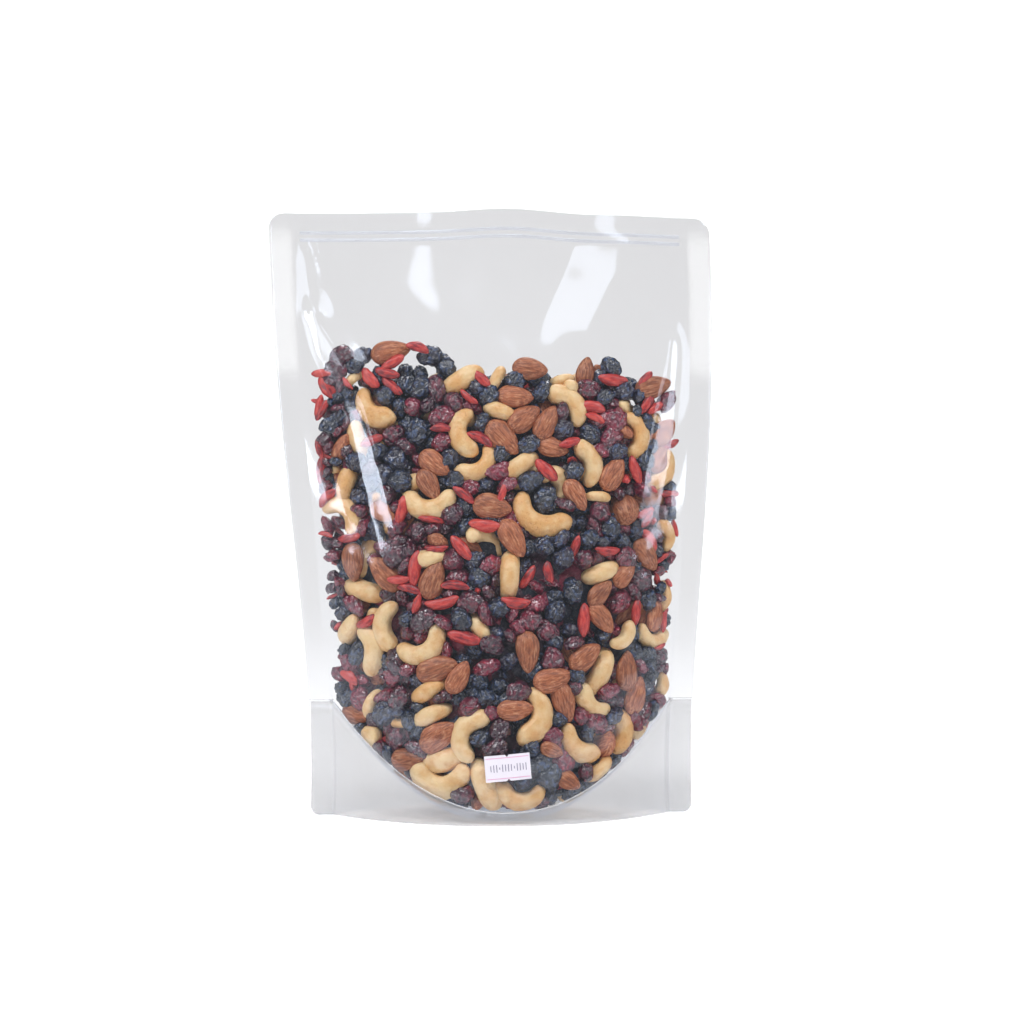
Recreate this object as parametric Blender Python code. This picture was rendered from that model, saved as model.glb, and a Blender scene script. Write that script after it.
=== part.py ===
"""Clear stand-up pouch of trail mix, heat-sealed along its top, with a small date label on its front.

Two clear panels are welded along both sides and the top, and a third piece of film, the bottom gusset, is
folded up between them and welded to each along a U-shaped line. Filled, the gusset opens into a cradle for
the food, and the panels below the weld line become the two curved skirts that the pouch stands on.

The pouch is modelled as one solid out to its film. Everything is in metres, with +Z up and the front facing
-Y. The origin is at the bottom centre of the pouch's box.
"""

import math

import bmesh
import bpy
from mathutils import Matrix, Vector, noise

# The pouch as it is cut and welded
PANEL_WIDTH = 0.210
POUCH_HEIGHT = 0.286
SIDE_SEAL = 0.0105
TOP_SEAL = 0.006
ZIP_BAND = 0.0085
SEAL_THICKNESS = 0.001
TOP_CORNER_RADIUS = 0.0075
BOTTOM_CORNER_RADIUS = 0.0045

# The pouch as the food fills it: half its depth at the floor, and how the panels close towards the zip
BASE_HALF_DEPTH = 0.0455
CLOSED_ABOVE = POUCH_HEIGHT - TOP_SEAL - ZIP_BAND
CLOSING_POWER = 1.35
ROUNDNESS = 2.1
SKIRT_TUCK = 0.03
SKIRT_TUCK_HEIGHT = 0.040

# Its unevenness: the top leans to the left, and the sealed edge has a hump, a slow wave to front and back,
# and a right end that hangs a little
TOP_LEAN = -0.0062
LEAN_POWER = 2.2
CENTRE_SHIFT = 0.0051
EDGE_HUMP = 0.0026
EDGE_HUMP_AT = 0.010
EDGE_HUMP_SPREAD = 0.027
EDGE_FALL = 0.0019
EDGE_FALL_FROM = 0.055
EDGE_WAVE = 0.003
EDGE_WAVE_LENGTH = 0.130
SLACK_FROM = 0.200

# The press-to-close zip: two ribs under the film, crushed flat where they enter the side seals
ZIP_RIB_HEIGHT = 0.0007
ZIP_RIB_HALF_WIDTH = 0.0011
ZIP_RIB_DEPTHS = (0.0092, 0.0126)

# The gusset: its welds rise from the middle of the base to the side seals, and its film hangs between them
WELD_MIDDLE = 0.0063
WELD_END = 0.054
WELD_POWER = 2.1
GUSSET_SAG = 0.11
SKIRT_THICKNESS = 0.0012
RECESS_END_GAP = 0.0035
BELOW_FLOOR = 0.006

# Nuts and fruit that press the film outwards: the size of a bump, its height, and where the heap ends
BUMP_SPACING = 0.019
BUMP_HEIGHT = 0.0011
HEAP_HEIGHT = 0.203
HEAP_FADE = 0.016
BUMP_EDGE = 0.22

# The date label, a price-gun sticker with a V cut in its top and bottom edges
LABEL_WIDTH = 0.021
LABEL_HEIGHT = 0.012
LABEL_THICKNESS = 0.0003
LABEL_GAP = 0.0004
LABEL_NOTCH_HALF_WIDTH = 0.0011
LABEL_NOTCH_DEPTH = 0.0012
LABEL_CENTRE = (0.0052, 0.0272)
LABEL_TILT = math.radians(5.0)
LABEL_CALM = 0.017

# How finely the pouch is divided
SEAL_COLUMNS = 2
PANEL_COLUMNS = 34
BODY_ROWS = 31
CORNER_ROWS = 3
RECESS_STATIONS = 24
RECESS_ROWS = 4
RECESS_COLUMNS = 12


def clear_scene():
    """Removes the objects that a new file starts with."""
    for obj in list(bpy.data.objects):
        bpy.data.objects.remove(obj)


def ease(share):
    """0 below 0, 1 above 1, and a smooth step between."""
    share = min(max(share, 0.0), 1.0)
    return share * share * (3 - 2 * share)


def half_depth(z):
    """Half the pouch's depth at its middle line, without the thickness of the seal."""
    closing = max(0.0, 1 - (z / CLOSED_ABOVE) ** 2) ** CLOSING_POWER
    tuck = 1 - SKIRT_TUCK * max(0.0, 1 - z / SKIRT_TUCK_HEIGHT) ** 2
    return BASE_HALF_DEPTH * closing * tuck


def seal_line(z):
    """How far the inner edge of a side seal is from the middle: a panel keeps its width as it bulges."""
    width = PANEL_WIDTH - 2 * SIDE_SEAL
    return width / 2 - 4 / 3 * half_depth(z) ** 2 / width


def corner_loss(z):
    """How much the round corners take off the pouch's half width at this height."""
    loss = 0.0
    for radius, into_corner in (
        (BOTTOM_CORNER_RADIUS, BOTTOM_CORNER_RADIUS - z),
        (TOP_CORNER_RADIUS, z - POUCH_HEIGHT + TOP_CORNER_RADIUS),
    ):
        if into_corner > 0:
            loss += radius - math.sqrt(max(0.0, radius**2 - into_corner**2))
    return loss


def middle_x(z):
    """The pouch's middle line, which leans to one side towards the top."""
    return CENTRE_SHIFT + TOP_LEAN * (z / POUCH_HEIGHT) ** LEAN_POWER


def zip_rib(z):
    """Height of the zip's two ribs above the film at this height."""
    height = 0.0
    for depth in ZIP_RIB_DEPTHS:
        off = abs(z - (POUCH_HEIGHT - depth)) / ZIP_RIB_HALF_WIDTH
        height += ZIP_RIB_HEIGHT * max(0.0, 1 - off)
    return height


def bump(x, z, side):
    """How far the film dips between the pieces behind it. Front and back match by a half turn about Z."""
    share = abs(x - middle_x(z)) / seal_line(z)
    inside = ease((1 - share) / BUMP_EDGE)
    inside *= ease((HEAP_HEIGHT + HEAP_FADE - z) / (2 * HEAP_FADE))
    inside *= ease((z - weld_height(x) - BUMP_SPACING / 4) / BUMP_SPACING)
    if side < 0:
        from_label = math.hypot(x - LABEL_CENTRE[0], z - LABEL_CENTRE[1])
        inside *= ease(from_label / LABEL_CALM - 0.5)
    place = Vector((side * x / BUMP_SPACING, 0.0, z / BUMP_SPACING))
    nearest = noise.voronoi(place)[0][0]
    return inside * BUMP_HEIGHT * min(1.0, nearest / 0.6)


def weld_height(x):
    """Height of the two welds that hold the gusset to the front and the back panel."""
    share = abs(x - middle_x(0.0)) / seal_line(0.0)
    return WELD_MIDDLE + (WELD_END - WELD_MIDDLE) * share**WELD_POWER


def panel_y(x, z, side):
    """The film's own bulge at a point, outwards from the seal's middle plane. side is -1 front, 1 back."""
    share = min(1.0, abs(x - middle_x(z)) / seal_line(z))
    bulge = half_depth(z) * (1 - share**ROUNDNESS)
    rib = zip_rib(z) * ease((1 - share) * seal_line(z) / SIDE_SEAL)
    return SEAL_THICKNESS / 2 + bulge + rib - bump(x, z, side)


def slack(x, z):
    """(y, z) offset of the loose top of the pouch: its slow wave, its hump and its hanging end."""
    loose = ease((z - SLACK_FROM) / (POUCH_HEIGHT - SLACK_FROM))
    wave = EDGE_WAVE * math.sin(2 * math.pi * (x - EDGE_HUMP_AT) / EDGE_WAVE_LENGTH)
    hump = EDGE_HUMP * math.exp(-(((x - EDGE_HUMP_AT) / EDGE_HUMP_SPREAD) ** 2))
    fall = EDGE_FALL * ease((x - EDGE_FALL_FROM) / (PANEL_WIDTH / 2 - EDGE_FALL_FROM))
    return loose * wave, loose * (hump - fall)


def film_point(x, z, side):
    """A point of the outer film, given where it would be on the flat panel."""
    lean_y, lift = slack(x, z)
    return Vector((x, side * panel_y(x, z, side) + lean_y, z + lift))


def row_heights():
    """Heights of the rows of points: close together in the corners and over the zip's ribs."""
    steps = [1 - math.cos(math.radians(90 * i / CORNER_ROWS)) for i in range(CORNER_ROWS + 1)]
    corner = [BOTTOM_CORNER_RADIUS * step for step in steps]
    body = [corner[-1] + (CLOSED_ABOVE - corner[-1]) * i / BODY_ROWS for i in range(1, BODY_ROWS)]
    ribs = {
        POUCH_HEIGHT - depth + off
        for depth in ZIP_RIB_DEPTHS
        for off in (-ZIP_RIB_HALF_WIDTH, 0.0, ZIP_RIB_HALF_WIDTH)
    }
    top = [POUCH_HEIGHT - TOP_CORNER_RADIUS * step for step in steps]
    return sorted({round(z, 6) for z in (*corner, *body, CLOSED_ABOVE, *ribs, *top)})


def column_places(z):
    """Places across one row, from the left edge to the right: seal, panel and seal."""
    line, middle = seal_line(z), middle_x(z)
    edge = line + SIDE_SEAL - corner_loss(z)
    right_seal = [line + (edge - line) * i / SEAL_COLUMNS for i in range(1, SEAL_COLUMNS + 1)]
    panel = [line * math.sin(math.pi * (i / PANEL_COLUMNS - 0.5)) for i in range(PANEL_COLUMNS + 1)]
    across = [-x for x in reversed(right_seal)] + panel + right_seal
    return [middle + x for x in across]


def make_material(name, colour, roughness, alpha=1.0):
    """A Principled material with one colour."""
    material = bpy.data.materials.new(name)
    material.use_nodes = True
    shader = material.node_tree.nodes["Principled BSDF"]
    shader.inputs["Base Color"].default_value = (*colour, 1.0)
    shader.inputs["Roughness"].default_value = roughness
    shader.inputs["Metallic"].default_value = 0.0
    shader.inputs["Alpha"].default_value = alpha
    return material


def add_object(name, mesh_maker, material, parent):
    """Turns a bmesh into a named object with its material, under its parent."""
    mesh = bpy.data.meshes.new(name)
    mesh_maker.to_mesh(mesh)
    mesh_maker.free()
    mesh.materials.append(material)
    obj = bpy.data.objects.new(name, mesh)
    bpy.context.scene.collection.objects.link(obj)
    obj.parent = parent
    return obj


def skin_rows(maker, fronts, backs):
    """Faces between rows of points: both sides, the two edges, and the first and last row's caps."""
    last = len(fronts[0]) - 1
    for low in range(len(fronts) - 1):
        for i in range(last):
            maker.faces.new((fronts[low][i], fronts[low][i + 1], fronts[low + 1][i + 1], fronts[low + 1][i]))
            maker.faces.new((backs[low][i], backs[low + 1][i], backs[low + 1][i + 1], backs[low][i + 1]))
        maker.faces.new((fronts[low][0], fronts[low + 1][0], backs[low + 1][0], backs[low][0]))
        maker.faces.new((fronts[low][last], backs[low][last], backs[low + 1][last], fronts[low + 1][last]))
    for i in range(last):
        maker.faces.new((fronts[0][i], backs[0][i], backs[0][i + 1], fronts[0][i + 1]))
        maker.faces.new((fronts[-1][i], fronts[-1][i + 1], backs[-1][i + 1], backs[-1][i]))


def filled_pouch():
    """The whole pouch out to its film, with a flat base, before the recesses under the gusset are cut."""
    maker = bmesh.new()
    fronts, backs = [], []
    for z in row_heights():
        places = column_places(z)
        fronts.append([maker.verts.new(film_point(x, z, -1)) for x in places])
        backs.append([maker.verts.new(film_point(x, z, 1)) for x in places])
    skin_rows(maker, fronts, backs)
    return maker


def skirt_inside(x, z):
    """Distance from the seal's middle plane to the inner face of either skirt."""
    share = min(1.0, abs(x - middle_x(z)) / seal_line(z))
    bulge = half_depth(max(z, 0.0)) * (1 - share**ROUNDNESS)
    return bulge + SEAL_THICKNESS / 2 - SKIRT_THICKNESS


def recess_ring(x):
    """(y, z) points round the space under the gusset at one x: up the front skirt, across, and down the back."""
    weld = weld_height(x)
    wall = []
    for i in range(RECESS_ROWS + 1):
        z = (weld + BELOW_FLOOR) * i / RECESS_ROWS - BELOW_FLOOR
        wall.append((skirt_inside(x, z), z))
    half = wall[-1][0]
    sag = GUSSET_SAG * 2 * half
    film = []
    for i in range(1, RECESS_COLUMNS):
        share = 2 * i / RECESS_COLUMNS - 1
        film.append((share * half, weld - sag * (1 - share**2)))
    return [(-y, z) for y, z in wall] + film + list(reversed(wall))


def recess_cutter():
    """The space between the skirts, from below the floor up to the gusset, which touches the floor midway."""
    maker = bmesh.new()
    end = seal_line(0.0) - RECESS_END_GAP
    rings = []
    for i in range(RECESS_STATIONS + 1):
        # Stations close up towards the seals, where the recess narrows fastest
        x = middle_x(0.0) + end * math.sin(math.pi * (i / RECESS_STATIONS - 0.5))
        rings.append([maker.verts.new((x, y, z)) for y, z in recess_ring(x)])
    for low, high in zip(rings, rings[1:]):
        for i in range(len(low)):
            maker.faces.new((low[i], high[i], high[i - 1], low[i - 1]))
    maker.faces.new(rings[0])
    maker.faces.new(rings[-1])
    bmesh.ops.recalc_face_normals(maker, faces=maker.faces)
    return maker


def cut_recess(pouch, material):
    """Opens the space under the gusset."""
    cutter = add_object("recess_cutter", recess_cutter(), material, pouch.parent)
    cutter.hide_render = True
    cutter.display_type = "WIRE"
    cut = pouch.modifiers.new("recess", "BOOLEAN")
    cut.operation = "DIFFERENCE"
    cut.solver = "EXACT"
    cut.object = cutter


def label_columns():
    """Places across the label: its edges, the even steps between, and the V cut at its middle."""
    half = LABEL_WIDTH / 2
    right = [LABEL_NOTCH_HALF_WIDTH, half * 0.4, half * 0.7, half]
    return [-x for x in reversed(right)] + [0.0] + right


def label_plate():
    """The label, a thin plate that follows the front film a little way off it."""
    maker = bmesh.new()
    turn = Matrix.Rotation(LABEL_TILT, 2)
    inner, outer = [], []
    for level in (-1.0, -0.5, 0.0, 0.5, 1.0):
        row = []
        for across in label_columns():
            notch = LABEL_NOTCH_DEPTH if across == 0.0 and abs(level) == 1.0 else 0.0
            up = level * (LABEL_HEIGHT / 2 - notch)
            x, z = Vector(LABEL_CENTRE) + turn @ Vector((across, up))
            row.append((x, z, panel_y(x, z, -1) + LABEL_GAP))
        inner.append([maker.verts.new((x, -out, z)) for x, z, out in row])
        outer.append([maker.verts.new((x, -out - LABEL_THICKNESS, z)) for x, z, out in row])
    skin_rows(maker, outer, inner)
    bmesh.ops.recalc_face_normals(maker, faces=maker.faces)
    return maker


def main():
    clear_scene()
    film = make_material("clear_film", (0.80, 0.81, 0.82), 0.12, alpha=0.35)
    paper = make_material("label_paper", (0.90, 0.87, 0.90), 0.60)

    body = bpy.data.objects.new("body", None)
    bpy.context.scene.collection.objects.link(body)

    pouch = add_object("pouch", filled_pouch(), film, body)
    cut_recess(pouch, film)
    label = add_object("date_label", label_plate(), paper, body)
    for obj in (pouch, label):
        obj.data.shade_smooth()
        obj.data.set_sharp_from_angle(angle=math.radians(35))


main()
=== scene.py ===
"""The looks of a clear stand-up pouch of trail mix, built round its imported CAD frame. The film is made of
its real sheets: two panels, a folded gusset, the welds and the zip. The nuts and fruit are packed behind it
piece by piece, and each kind is one joined mesh. Metres, +Z up, front towards -Y."""

import math

import bpy
import numpy as np
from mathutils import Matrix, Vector, noise


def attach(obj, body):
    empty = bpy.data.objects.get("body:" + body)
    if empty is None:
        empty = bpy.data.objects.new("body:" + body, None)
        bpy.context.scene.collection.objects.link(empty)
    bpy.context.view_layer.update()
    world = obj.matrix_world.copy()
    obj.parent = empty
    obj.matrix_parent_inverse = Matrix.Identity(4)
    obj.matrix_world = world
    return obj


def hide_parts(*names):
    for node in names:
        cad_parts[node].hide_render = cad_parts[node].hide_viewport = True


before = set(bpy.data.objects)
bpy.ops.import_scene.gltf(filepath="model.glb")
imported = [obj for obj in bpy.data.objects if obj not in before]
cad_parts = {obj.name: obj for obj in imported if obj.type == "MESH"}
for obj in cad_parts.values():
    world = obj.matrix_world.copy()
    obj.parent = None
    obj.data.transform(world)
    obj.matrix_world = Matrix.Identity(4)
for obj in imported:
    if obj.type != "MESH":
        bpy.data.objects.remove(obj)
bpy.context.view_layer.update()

# Camera: the photo's, as it sees the pouch: a long lens, a little left of the pouch's middle, near half its
# height. It comes first because the nuts that the photo shows are placed through it.
CAMERA_DISTANCE = 1.103
CAMERA_YAW = math.radians(3.5)
CAMERA_HEIGHT = 0.1525
CAMERA_AIM = Vector((0.0099, 0.0, 0.144))
CAMERA_LENS = 81.2
SENSOR = 36.0
CAMERA_NEAR = 0.05
CAMERA_FAR = 20.0
PHOTO_SIDE = 1024

camera_data = bpy.data.cameras.new("camera")
camera_data.lens = CAMERA_LENS
camera_data.sensor_width = SENSOR
camera_data.clip_start = CAMERA_NEAR
camera_data.clip_end = CAMERA_FAR
camera = bpy.data.objects.new("camera", camera_data)
camera.location = (
    CAMERA_AIM.x - CAMERA_DISTANCE * math.sin(CAMERA_YAW),
    -CAMERA_DISTANCE * math.cos(CAMERA_YAW),
    CAMERA_HEIGHT,
)
camera.rotation_euler = (CAMERA_AIM - camera.location).to_track_quat("-Z", "Y").to_euler()
bpy.context.scene.collection.objects.link(camera)
bpy.context.scene.camera = camera


# Panels: the front and the back sheet of clear film, welded to each other down both sides and along the top,
# with round corners. They bulge over the food, hang in shallow folds above it and carry the crushed ends of
# the zip.
PANEL_WIDTH = 0.210
POUCH_HEIGHT = 0.286
SIDE_SEAL = 0.0105
TOP_SEAL = 0.006
ZIP_BAND = 0.0085
SEAL_THICKNESS = 0.001
TOP_CORNER_RADIUS = 0.0075
BOTTOM_CORNER_RADIUS = 0.0045
BASE_HALF_DEPTH = 0.0455
CLOSED_ABOVE = POUCH_HEIGHT - TOP_SEAL - ZIP_BAND
CLOSING_POWER = 1.35
ROUNDNESS = 2.1
SKIRT_TUCK = 0.03
SKIRT_TUCK_HEIGHT = 0.040
TOP_LEAN = -0.0062
LEAN_POWER = 2.2
CENTRE_SHIFT = 0.0051
EDGE_HUMP = 0.0026
EDGE_HUMP_AT = 0.010
EDGE_HUMP_SPREAD = 0.027
EDGE_FALL = 0.0019
EDGE_FALL_FROM = 0.055
EDGE_WAVE = 0.003
EDGE_WAVE_LENGTH = 0.130
SLACK_FROM = 0.200
PANEL_COLUMNS = 150
PANEL_ROWS = 200
SEAL_COLUMNS = 6
SEAL_EDGE = 0.003


def ease(share):
    """0 below 0, 1 above 1, and a smooth step between. Takes numbers or arrays."""
    share = np.clip(share, 0.0, 1.0)
    return share * share * (3 - 2 * share)


def half_depth(z):
    """How far the food pushes each panel out in its middle."""
    closing = np.maximum(0.0, 1 - (np.maximum(z, 0.0) / CLOSED_ABOVE) ** 2) ** CLOSING_POWER
    tuck = 1 - SKIRT_TUCK * np.maximum(0.0, 1 - z / SKIRT_TUCK_HEIGHT) ** 2
    return BASE_HALF_DEPTH * closing * tuck


def seal_line(z):
    """Distance from the pouch's middle to the inner edge of a side seal."""
    width = PANEL_WIDTH - 2 * SIDE_SEAL
    return width / 2 - 4 / 3 * half_depth(z) ** 2 / width


def middle_x(z):
    """The pouch leans a little to one side towards its top."""
    return CENTRE_SHIFT + TOP_LEAN * (np.maximum(z, 0.0) / POUCH_HEIGHT) ** LEAN_POWER


def off_seal(x, z, run):
    """0 at the side seals, and 1 from a share of run in from them."""
    return ease((1 - np.abs(x - middle_x(z)) / seal_line(z)) / run)


def bulge(x, z):
    """How far either panel stands off the seals' middle plane, before its folds and dips."""
    share = np.minimum(1.0, np.abs(x - middle_x(z)) / seal_line(z))
    return SEAL_THICKNESS / 2 + half_depth(z) * (1 - share**ROUNDNESS)


# Each crease of the film: its top's x and z, its foot's x and z, its height and its half width. x starts at
# the pouch's middle.
FOLDS = (
    (-0.090, 0.2480, -0.0614, 0.1960, 0.0033, 0.0110),
    (-0.0661, 0.2116, -0.0420, 0.1100, 0.0031, 0.0100),
    (0.088, 0.2450, 0.060, 0.1300, 0.0028, 0.0110),
    (-0.093, 0.2750, -0.086, 0.2340, 0.0022, 0.0100),
    (0.094, 0.2720, 0.090, 0.2400, 0.0018, 0.0090),
    (0.0735, 0.2870, 0.0360, 0.2060, 0.0050, 0.0215),
)
FOLD_RIDGE = 0.15
FOLD_FOOT = 0.15
FOLD_RISE_RUN = 0.2
FOLD_FALL_RUN = 0.35
FOLD_END = 1.05
CRINKLE_HEIGHT = 0.0005
CRINKLE_PITCH = 0.0042
CRINKLE_REACH = 0.016
CRINKLE_IN_SEAL = 0.2
CRINKLE_BAND = 0.9
CRINKLE_UP = 1.6
CRINKLE_ALONG = 0.45
CRINKLE_CROSS_ALONG = 1.1
CRINKLE_CROSS_UP = 0.4
CRINKLE_CROSS_PHASE = 1.3
CRINKLE_CROSS_SHARE = 0.6
SWELL_HEIGHT = 0.0004
SWELL_SIZE = 0.045
SWELL_FROM = 0.19
SWELL_FADE = 0.03
SWELL_TOP_FADE = 0.02
SWELL_SEAL_RUN = 0.15
SEAL_FADE = 0.12
FILM_TINT = "#E4E4E5"
INNER_TINT = "#F0F0F0"
INNER_HAZE = 0.006
INNER_GLOSS_SHARE = 0.01
FILM_HAZE = 0.005
FILM_HAZE_COLOUR = "#FFFFFF"
# Whiter haze on the side seals beside the header: partly the welds' milkiness and partly a painted sheen.
SEAL_HAZE_AND_SHEEN = 0.20
SEAL_SHEEN_FROM = 0.203
SEAL_SHEEN_TO = 0.284
SEAL_SHEEN_FADE = 0.014
FILM_GLOSS_SHARE = 0.05
FILM_GLOSS_ROUGHNESS = 0.10
FILM_GLOSS_COLOUR = "#E4EEFF"
INNER_FACE_GLOSS = 0.12


def linear(hex_colour):
    """A hex sRGB colour as linear RGBA."""
    parts = [int(hex_colour[i : i + 2], 16) / 255 for i in (1, 3, 5)]
    return (*(c / 12.92 if c <= 0.04045 else ((c + 0.055) / 1.055) ** 2.4 for c in parts), 1.0)


def add_node(tree, kind, settings=None, **inputs):
    """A new node. settings are its own properties, and inputs are values or sockets, by name or as i0, i1."""
    node = tree.nodes.new(kind)
    for key, value in (settings or {}).items():
        setattr(node, key, value)
    for key, value in inputs.items():
        numbered = key[0] == "i" and key[1:].isdigit()
        socket = node.inputs[int(key[1:]) if numbered else key.replace("_", " ")]
        if isinstance(value, bpy.types.NodeSocket):
            tree.links.new(value, socket)
        else:
            socket.default_value = value
    return node


def new_material(name):
    """An empty node material and its tree, with the output node."""
    material = bpy.data.materials.new(name)
    material.use_nodes = True
    tree = material.node_tree
    tree.nodes.clear()
    return material, tree, tree.nodes.new("ShaderNodeOutputMaterial")


def film_material(name, tint, haze, haze_colour, gloss_share, roughness):
    """Clear film: lets light through with a little white haze, and mirrors more at a slant."""
    material, tree, output = new_material(name)
    clear = add_node(tree, "ShaderNodeBsdfTransparent", Color=linear(tint))
    milky = add_node(tree, "ShaderNodeBsdfDiffuse", Color=linear(haze_colour))
    # The seals' whiter haze: their milkiness, and a painted sheen.
    seal_milk_and_sheen = add_node(tree, "ShaderNodeAttribute", {"attribute_name": "seal_milk_and_sheen"})
    white = add_node(tree, "ShaderNodeMapRange", Value=seal_milk_and_sheen.outputs["Fac"], i3=haze, i4=SEAL_HAZE_AND_SHEEN)
    body = add_node(
        tree, "ShaderNodeMixShader", i0=white.outputs[0], i1=clear.outputs[0], i2=milky.outputs[0]
    )
    slant = add_node(tree, "ShaderNodeLayerWeight", Blend=0.5)
    steep = add_node(tree, "ShaderNodeMath", {"operation": "POWER"}, i0=slant.outputs["Facing"], i1=5.0)
    share = add_node(
        tree, "ShaderNodeMath", {"operation": "MULTIPLY_ADD"},
        i0=steep.outputs[0], i1=1 - gloss_share, i2=gloss_share,
    )
    face = add_node(tree, "ShaderNodeNewGeometry")
    outer = add_node(
        tree, "ShaderNodeMapRange", Value=face.outputs["Backfacing"], i3=1.0, i4=INNER_FACE_GLOSS
    )
    shine = add_node(
        tree, "ShaderNodeMath", {"operation": "MULTIPLY"}, i0=share.outputs[0], i1=outer.outputs[0]
    )
    mirror = add_node(tree, "ShaderNodeBsdfGlossy", Color=linear(FILM_GLOSS_COLOUR), Roughness=roughness)
    mix = add_node(tree, "ShaderNodeMixShader", i0=shine.outputs[0], i1=body.outputs[0], i2=mirror.outputs[0])
    tree.links.new(mix.outputs[0], output.inputs["Surface"])
    return material


def fold(x, z):
    """Height of the film's creases: down the sides from the upper corners, and in the header's right half."""
    total = 0.0
    for top_x, top_z, foot_x, foot_z, height, width in FOLDS:
        run_x, run_z = foot_x - top_x, foot_z - top_z
        across, down = x - middle_x(z) - top_x, z - top_z
        along = (across * run_x + down * run_z) / (run_x**2 + run_z**2)
        off = np.hypot(across - along * run_x, down - along * run_z)
        rise = np.maximum(1 + FOLD_RIDGE - np.hypot(off / width, FOLD_RIDGE), 0.0)
        ends = ease(along / FOLD_RISE_RUN) * ease((FOLD_END - along) / FOLD_FALL_RUN)
        total = total + height * (np.hypot(rise, FOLD_FOOT) - FOLD_FOOT) * ends
    return total


def crinkle(x, z):
    """Small creases where the ends of the zip were crushed flat into the side seals."""
    end = np.abs(np.abs(x - middle_x(z)) - seal_line(z) + SIDE_SEAL * CRINKLE_IN_SEAL) / CRINKLE_REACH
    level = (z - CLOSED_ABOVE) / (ZIP_BAND * CRINKLE_BAND)
    inside = np.exp(-(end**2)) * np.exp(-(level**2))
    ripple = np.sin(2 * math.pi * (z * CRINKLE_UP + np.abs(x) * CRINKLE_ALONG) / CRINKLE_PITCH)
    across = np.abs(x) * CRINKLE_CROSS_ALONG - z * CRINKLE_CROSS_UP
    cross = np.sin(2 * math.pi * across / CRINKLE_PITCH + CRINKLE_CROSS_PHASE)
    return CRINKLE_HEIGHT * inside * (ripple + CRINKLE_CROSS_SHARE * cross)


def swell(x, z, side):
    """Slow unevenness of the empty film above the food."""
    loose = ease((z - SWELL_FROM) / SWELL_FADE) * ease((CLOSED_ABOVE - z) / SWELL_TOP_FADE)
    loose = loose * off_seal(x, z, SWELL_SEAL_RUN)
    a = np.sin(2 * math.pi * (x * side + 0.35 * z) / SWELL_SIZE + 0.4)
    b = np.sin(2 * math.pi * (z * 0.8 - 0.5 * x * side) / SWELL_SIZE + 2.1)
    return SWELL_HEIGHT * loose * (a + b) / 2


def slack(x, z):
    """(y, z) offset of the loose top of the pouch: its slow wave, its hump and its hanging end."""
    loose = ease((z - SLACK_FROM) / (POUCH_HEIGHT - SLACK_FROM))
    wave = EDGE_WAVE * np.sin(2 * math.pi * (x - EDGE_HUMP_AT) / EDGE_WAVE_LENGTH)
    hump = EDGE_HUMP * np.exp(-(((x - EDGE_HUMP_AT) / EDGE_HUMP_SPREAD) ** 2))
    fall = EDGE_FALL * ease((x - EDGE_FALL_FROM) / (PANEL_WIDTH / 2 - EDGE_FALL_FROM))
    return loose * wave, loose * (hump - fall)


def panel_point(x, z, side, off=0.0, dip=0.0):
    """Points of a panel's film, an (n, 3) array. side is -1 front, 1 back; off moves it outwards."""
    inside = off_seal(x, z, SEAL_FADE)
    out = bulge(x, z) + fold(x, z) * inside + crinkle(x, z) * inside + swell(x, z, side) - dip + off
    lean, lift = slack(x, z)
    return np.stack([x, side * out + lean, z + lift], -1)


def corner_loss(z):
    """How much the round corners take off the pouch's half width."""
    loss = np.zeros_like(z)
    for radius, into_corner in (
        (BOTTOM_CORNER_RADIUS, BOTTOM_CORNER_RADIUS - z),
        (TOP_CORNER_RADIUS, z - POUCH_HEIGHT + TOP_CORNER_RADIUS),
    ):
        into_corner = np.clip(into_corner, 0.0, radius)
        loss += radius - np.sqrt(radius**2 - into_corner**2)
    return loss


def panel_grid():
    """(x, z) of the panels' grid: rows close up in the round corners."""
    corner = 1 - np.cos(np.linspace(0, math.pi / 2, 7))
    z = np.concatenate(
        [
            BOTTOM_CORNER_RADIUS * corner,
            np.linspace(BOTTOM_CORNER_RADIUS, POUCH_HEIGHT - TOP_CORNER_RADIUS, PANEL_ROWS)[1:-1],
            POUCH_HEIGHT - TOP_CORNER_RADIUS * corner[::-1],
        ]
    )
    line, middle = seal_line(z)[:, None], middle_x(z)[:, None]
    edge = line + SIDE_SEAL - corner_loss(z)[:, None]
    panel = np.sin(np.linspace(-0.5, 0.5, PANEL_COLUMNS + 1) * math.pi)[None, :]
    seal = np.linspace(0, 1, SEAL_COLUMNS + 1)[None, 1:]
    right = line + (edge - line) * seal
    x = np.concatenate([-right[:, ::-1], line * panel, right], axis=1) + middle
    return x, np.broadcast_to(z[:, None], x.shape)


def grid_faces(rows, columns, start=0, flip=False):
    """Quads of a grid whose points are stored row by row."""
    faces = []
    for r in range(rows - 1):
        for c in range(columns - 1):
            a = start + r * columns + c
            face = (a, a + 1, a + columns + 1, a + columns)
            faces.append(face[::-1] if flip else face)
    return faces


film = film_material(
    "clear_film", FILM_TINT, FILM_HAZE, FILM_HAZE_COLOUR, FILM_GLOSS_SHARE, FILM_GLOSS_ROUGHNESS
)
inner_film = film_material(
    "inner_film", INNER_TINT, INNER_HAZE, FILM_HAZE_COLOUR, INNER_GLOSS_SHARE, FILM_GLOSS_ROUGHNESS
)


def sheet_object(name, points, faces, material):
    """A mesh object from an array of points and a list of faces, riding on the frame's root."""
    mesh = bpy.data.meshes.new(name)
    mesh.from_pydata([tuple(p) for p in points], [], [tuple(f) for f in faces])
    mesh.update()
    mesh.materials.append(material)
    mesh.shade_smooth()
    obj = bpy.data.objects.new(name, mesh)
    bpy.context.scene.collection.objects.link(obj)
    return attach(obj, "root")


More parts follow.
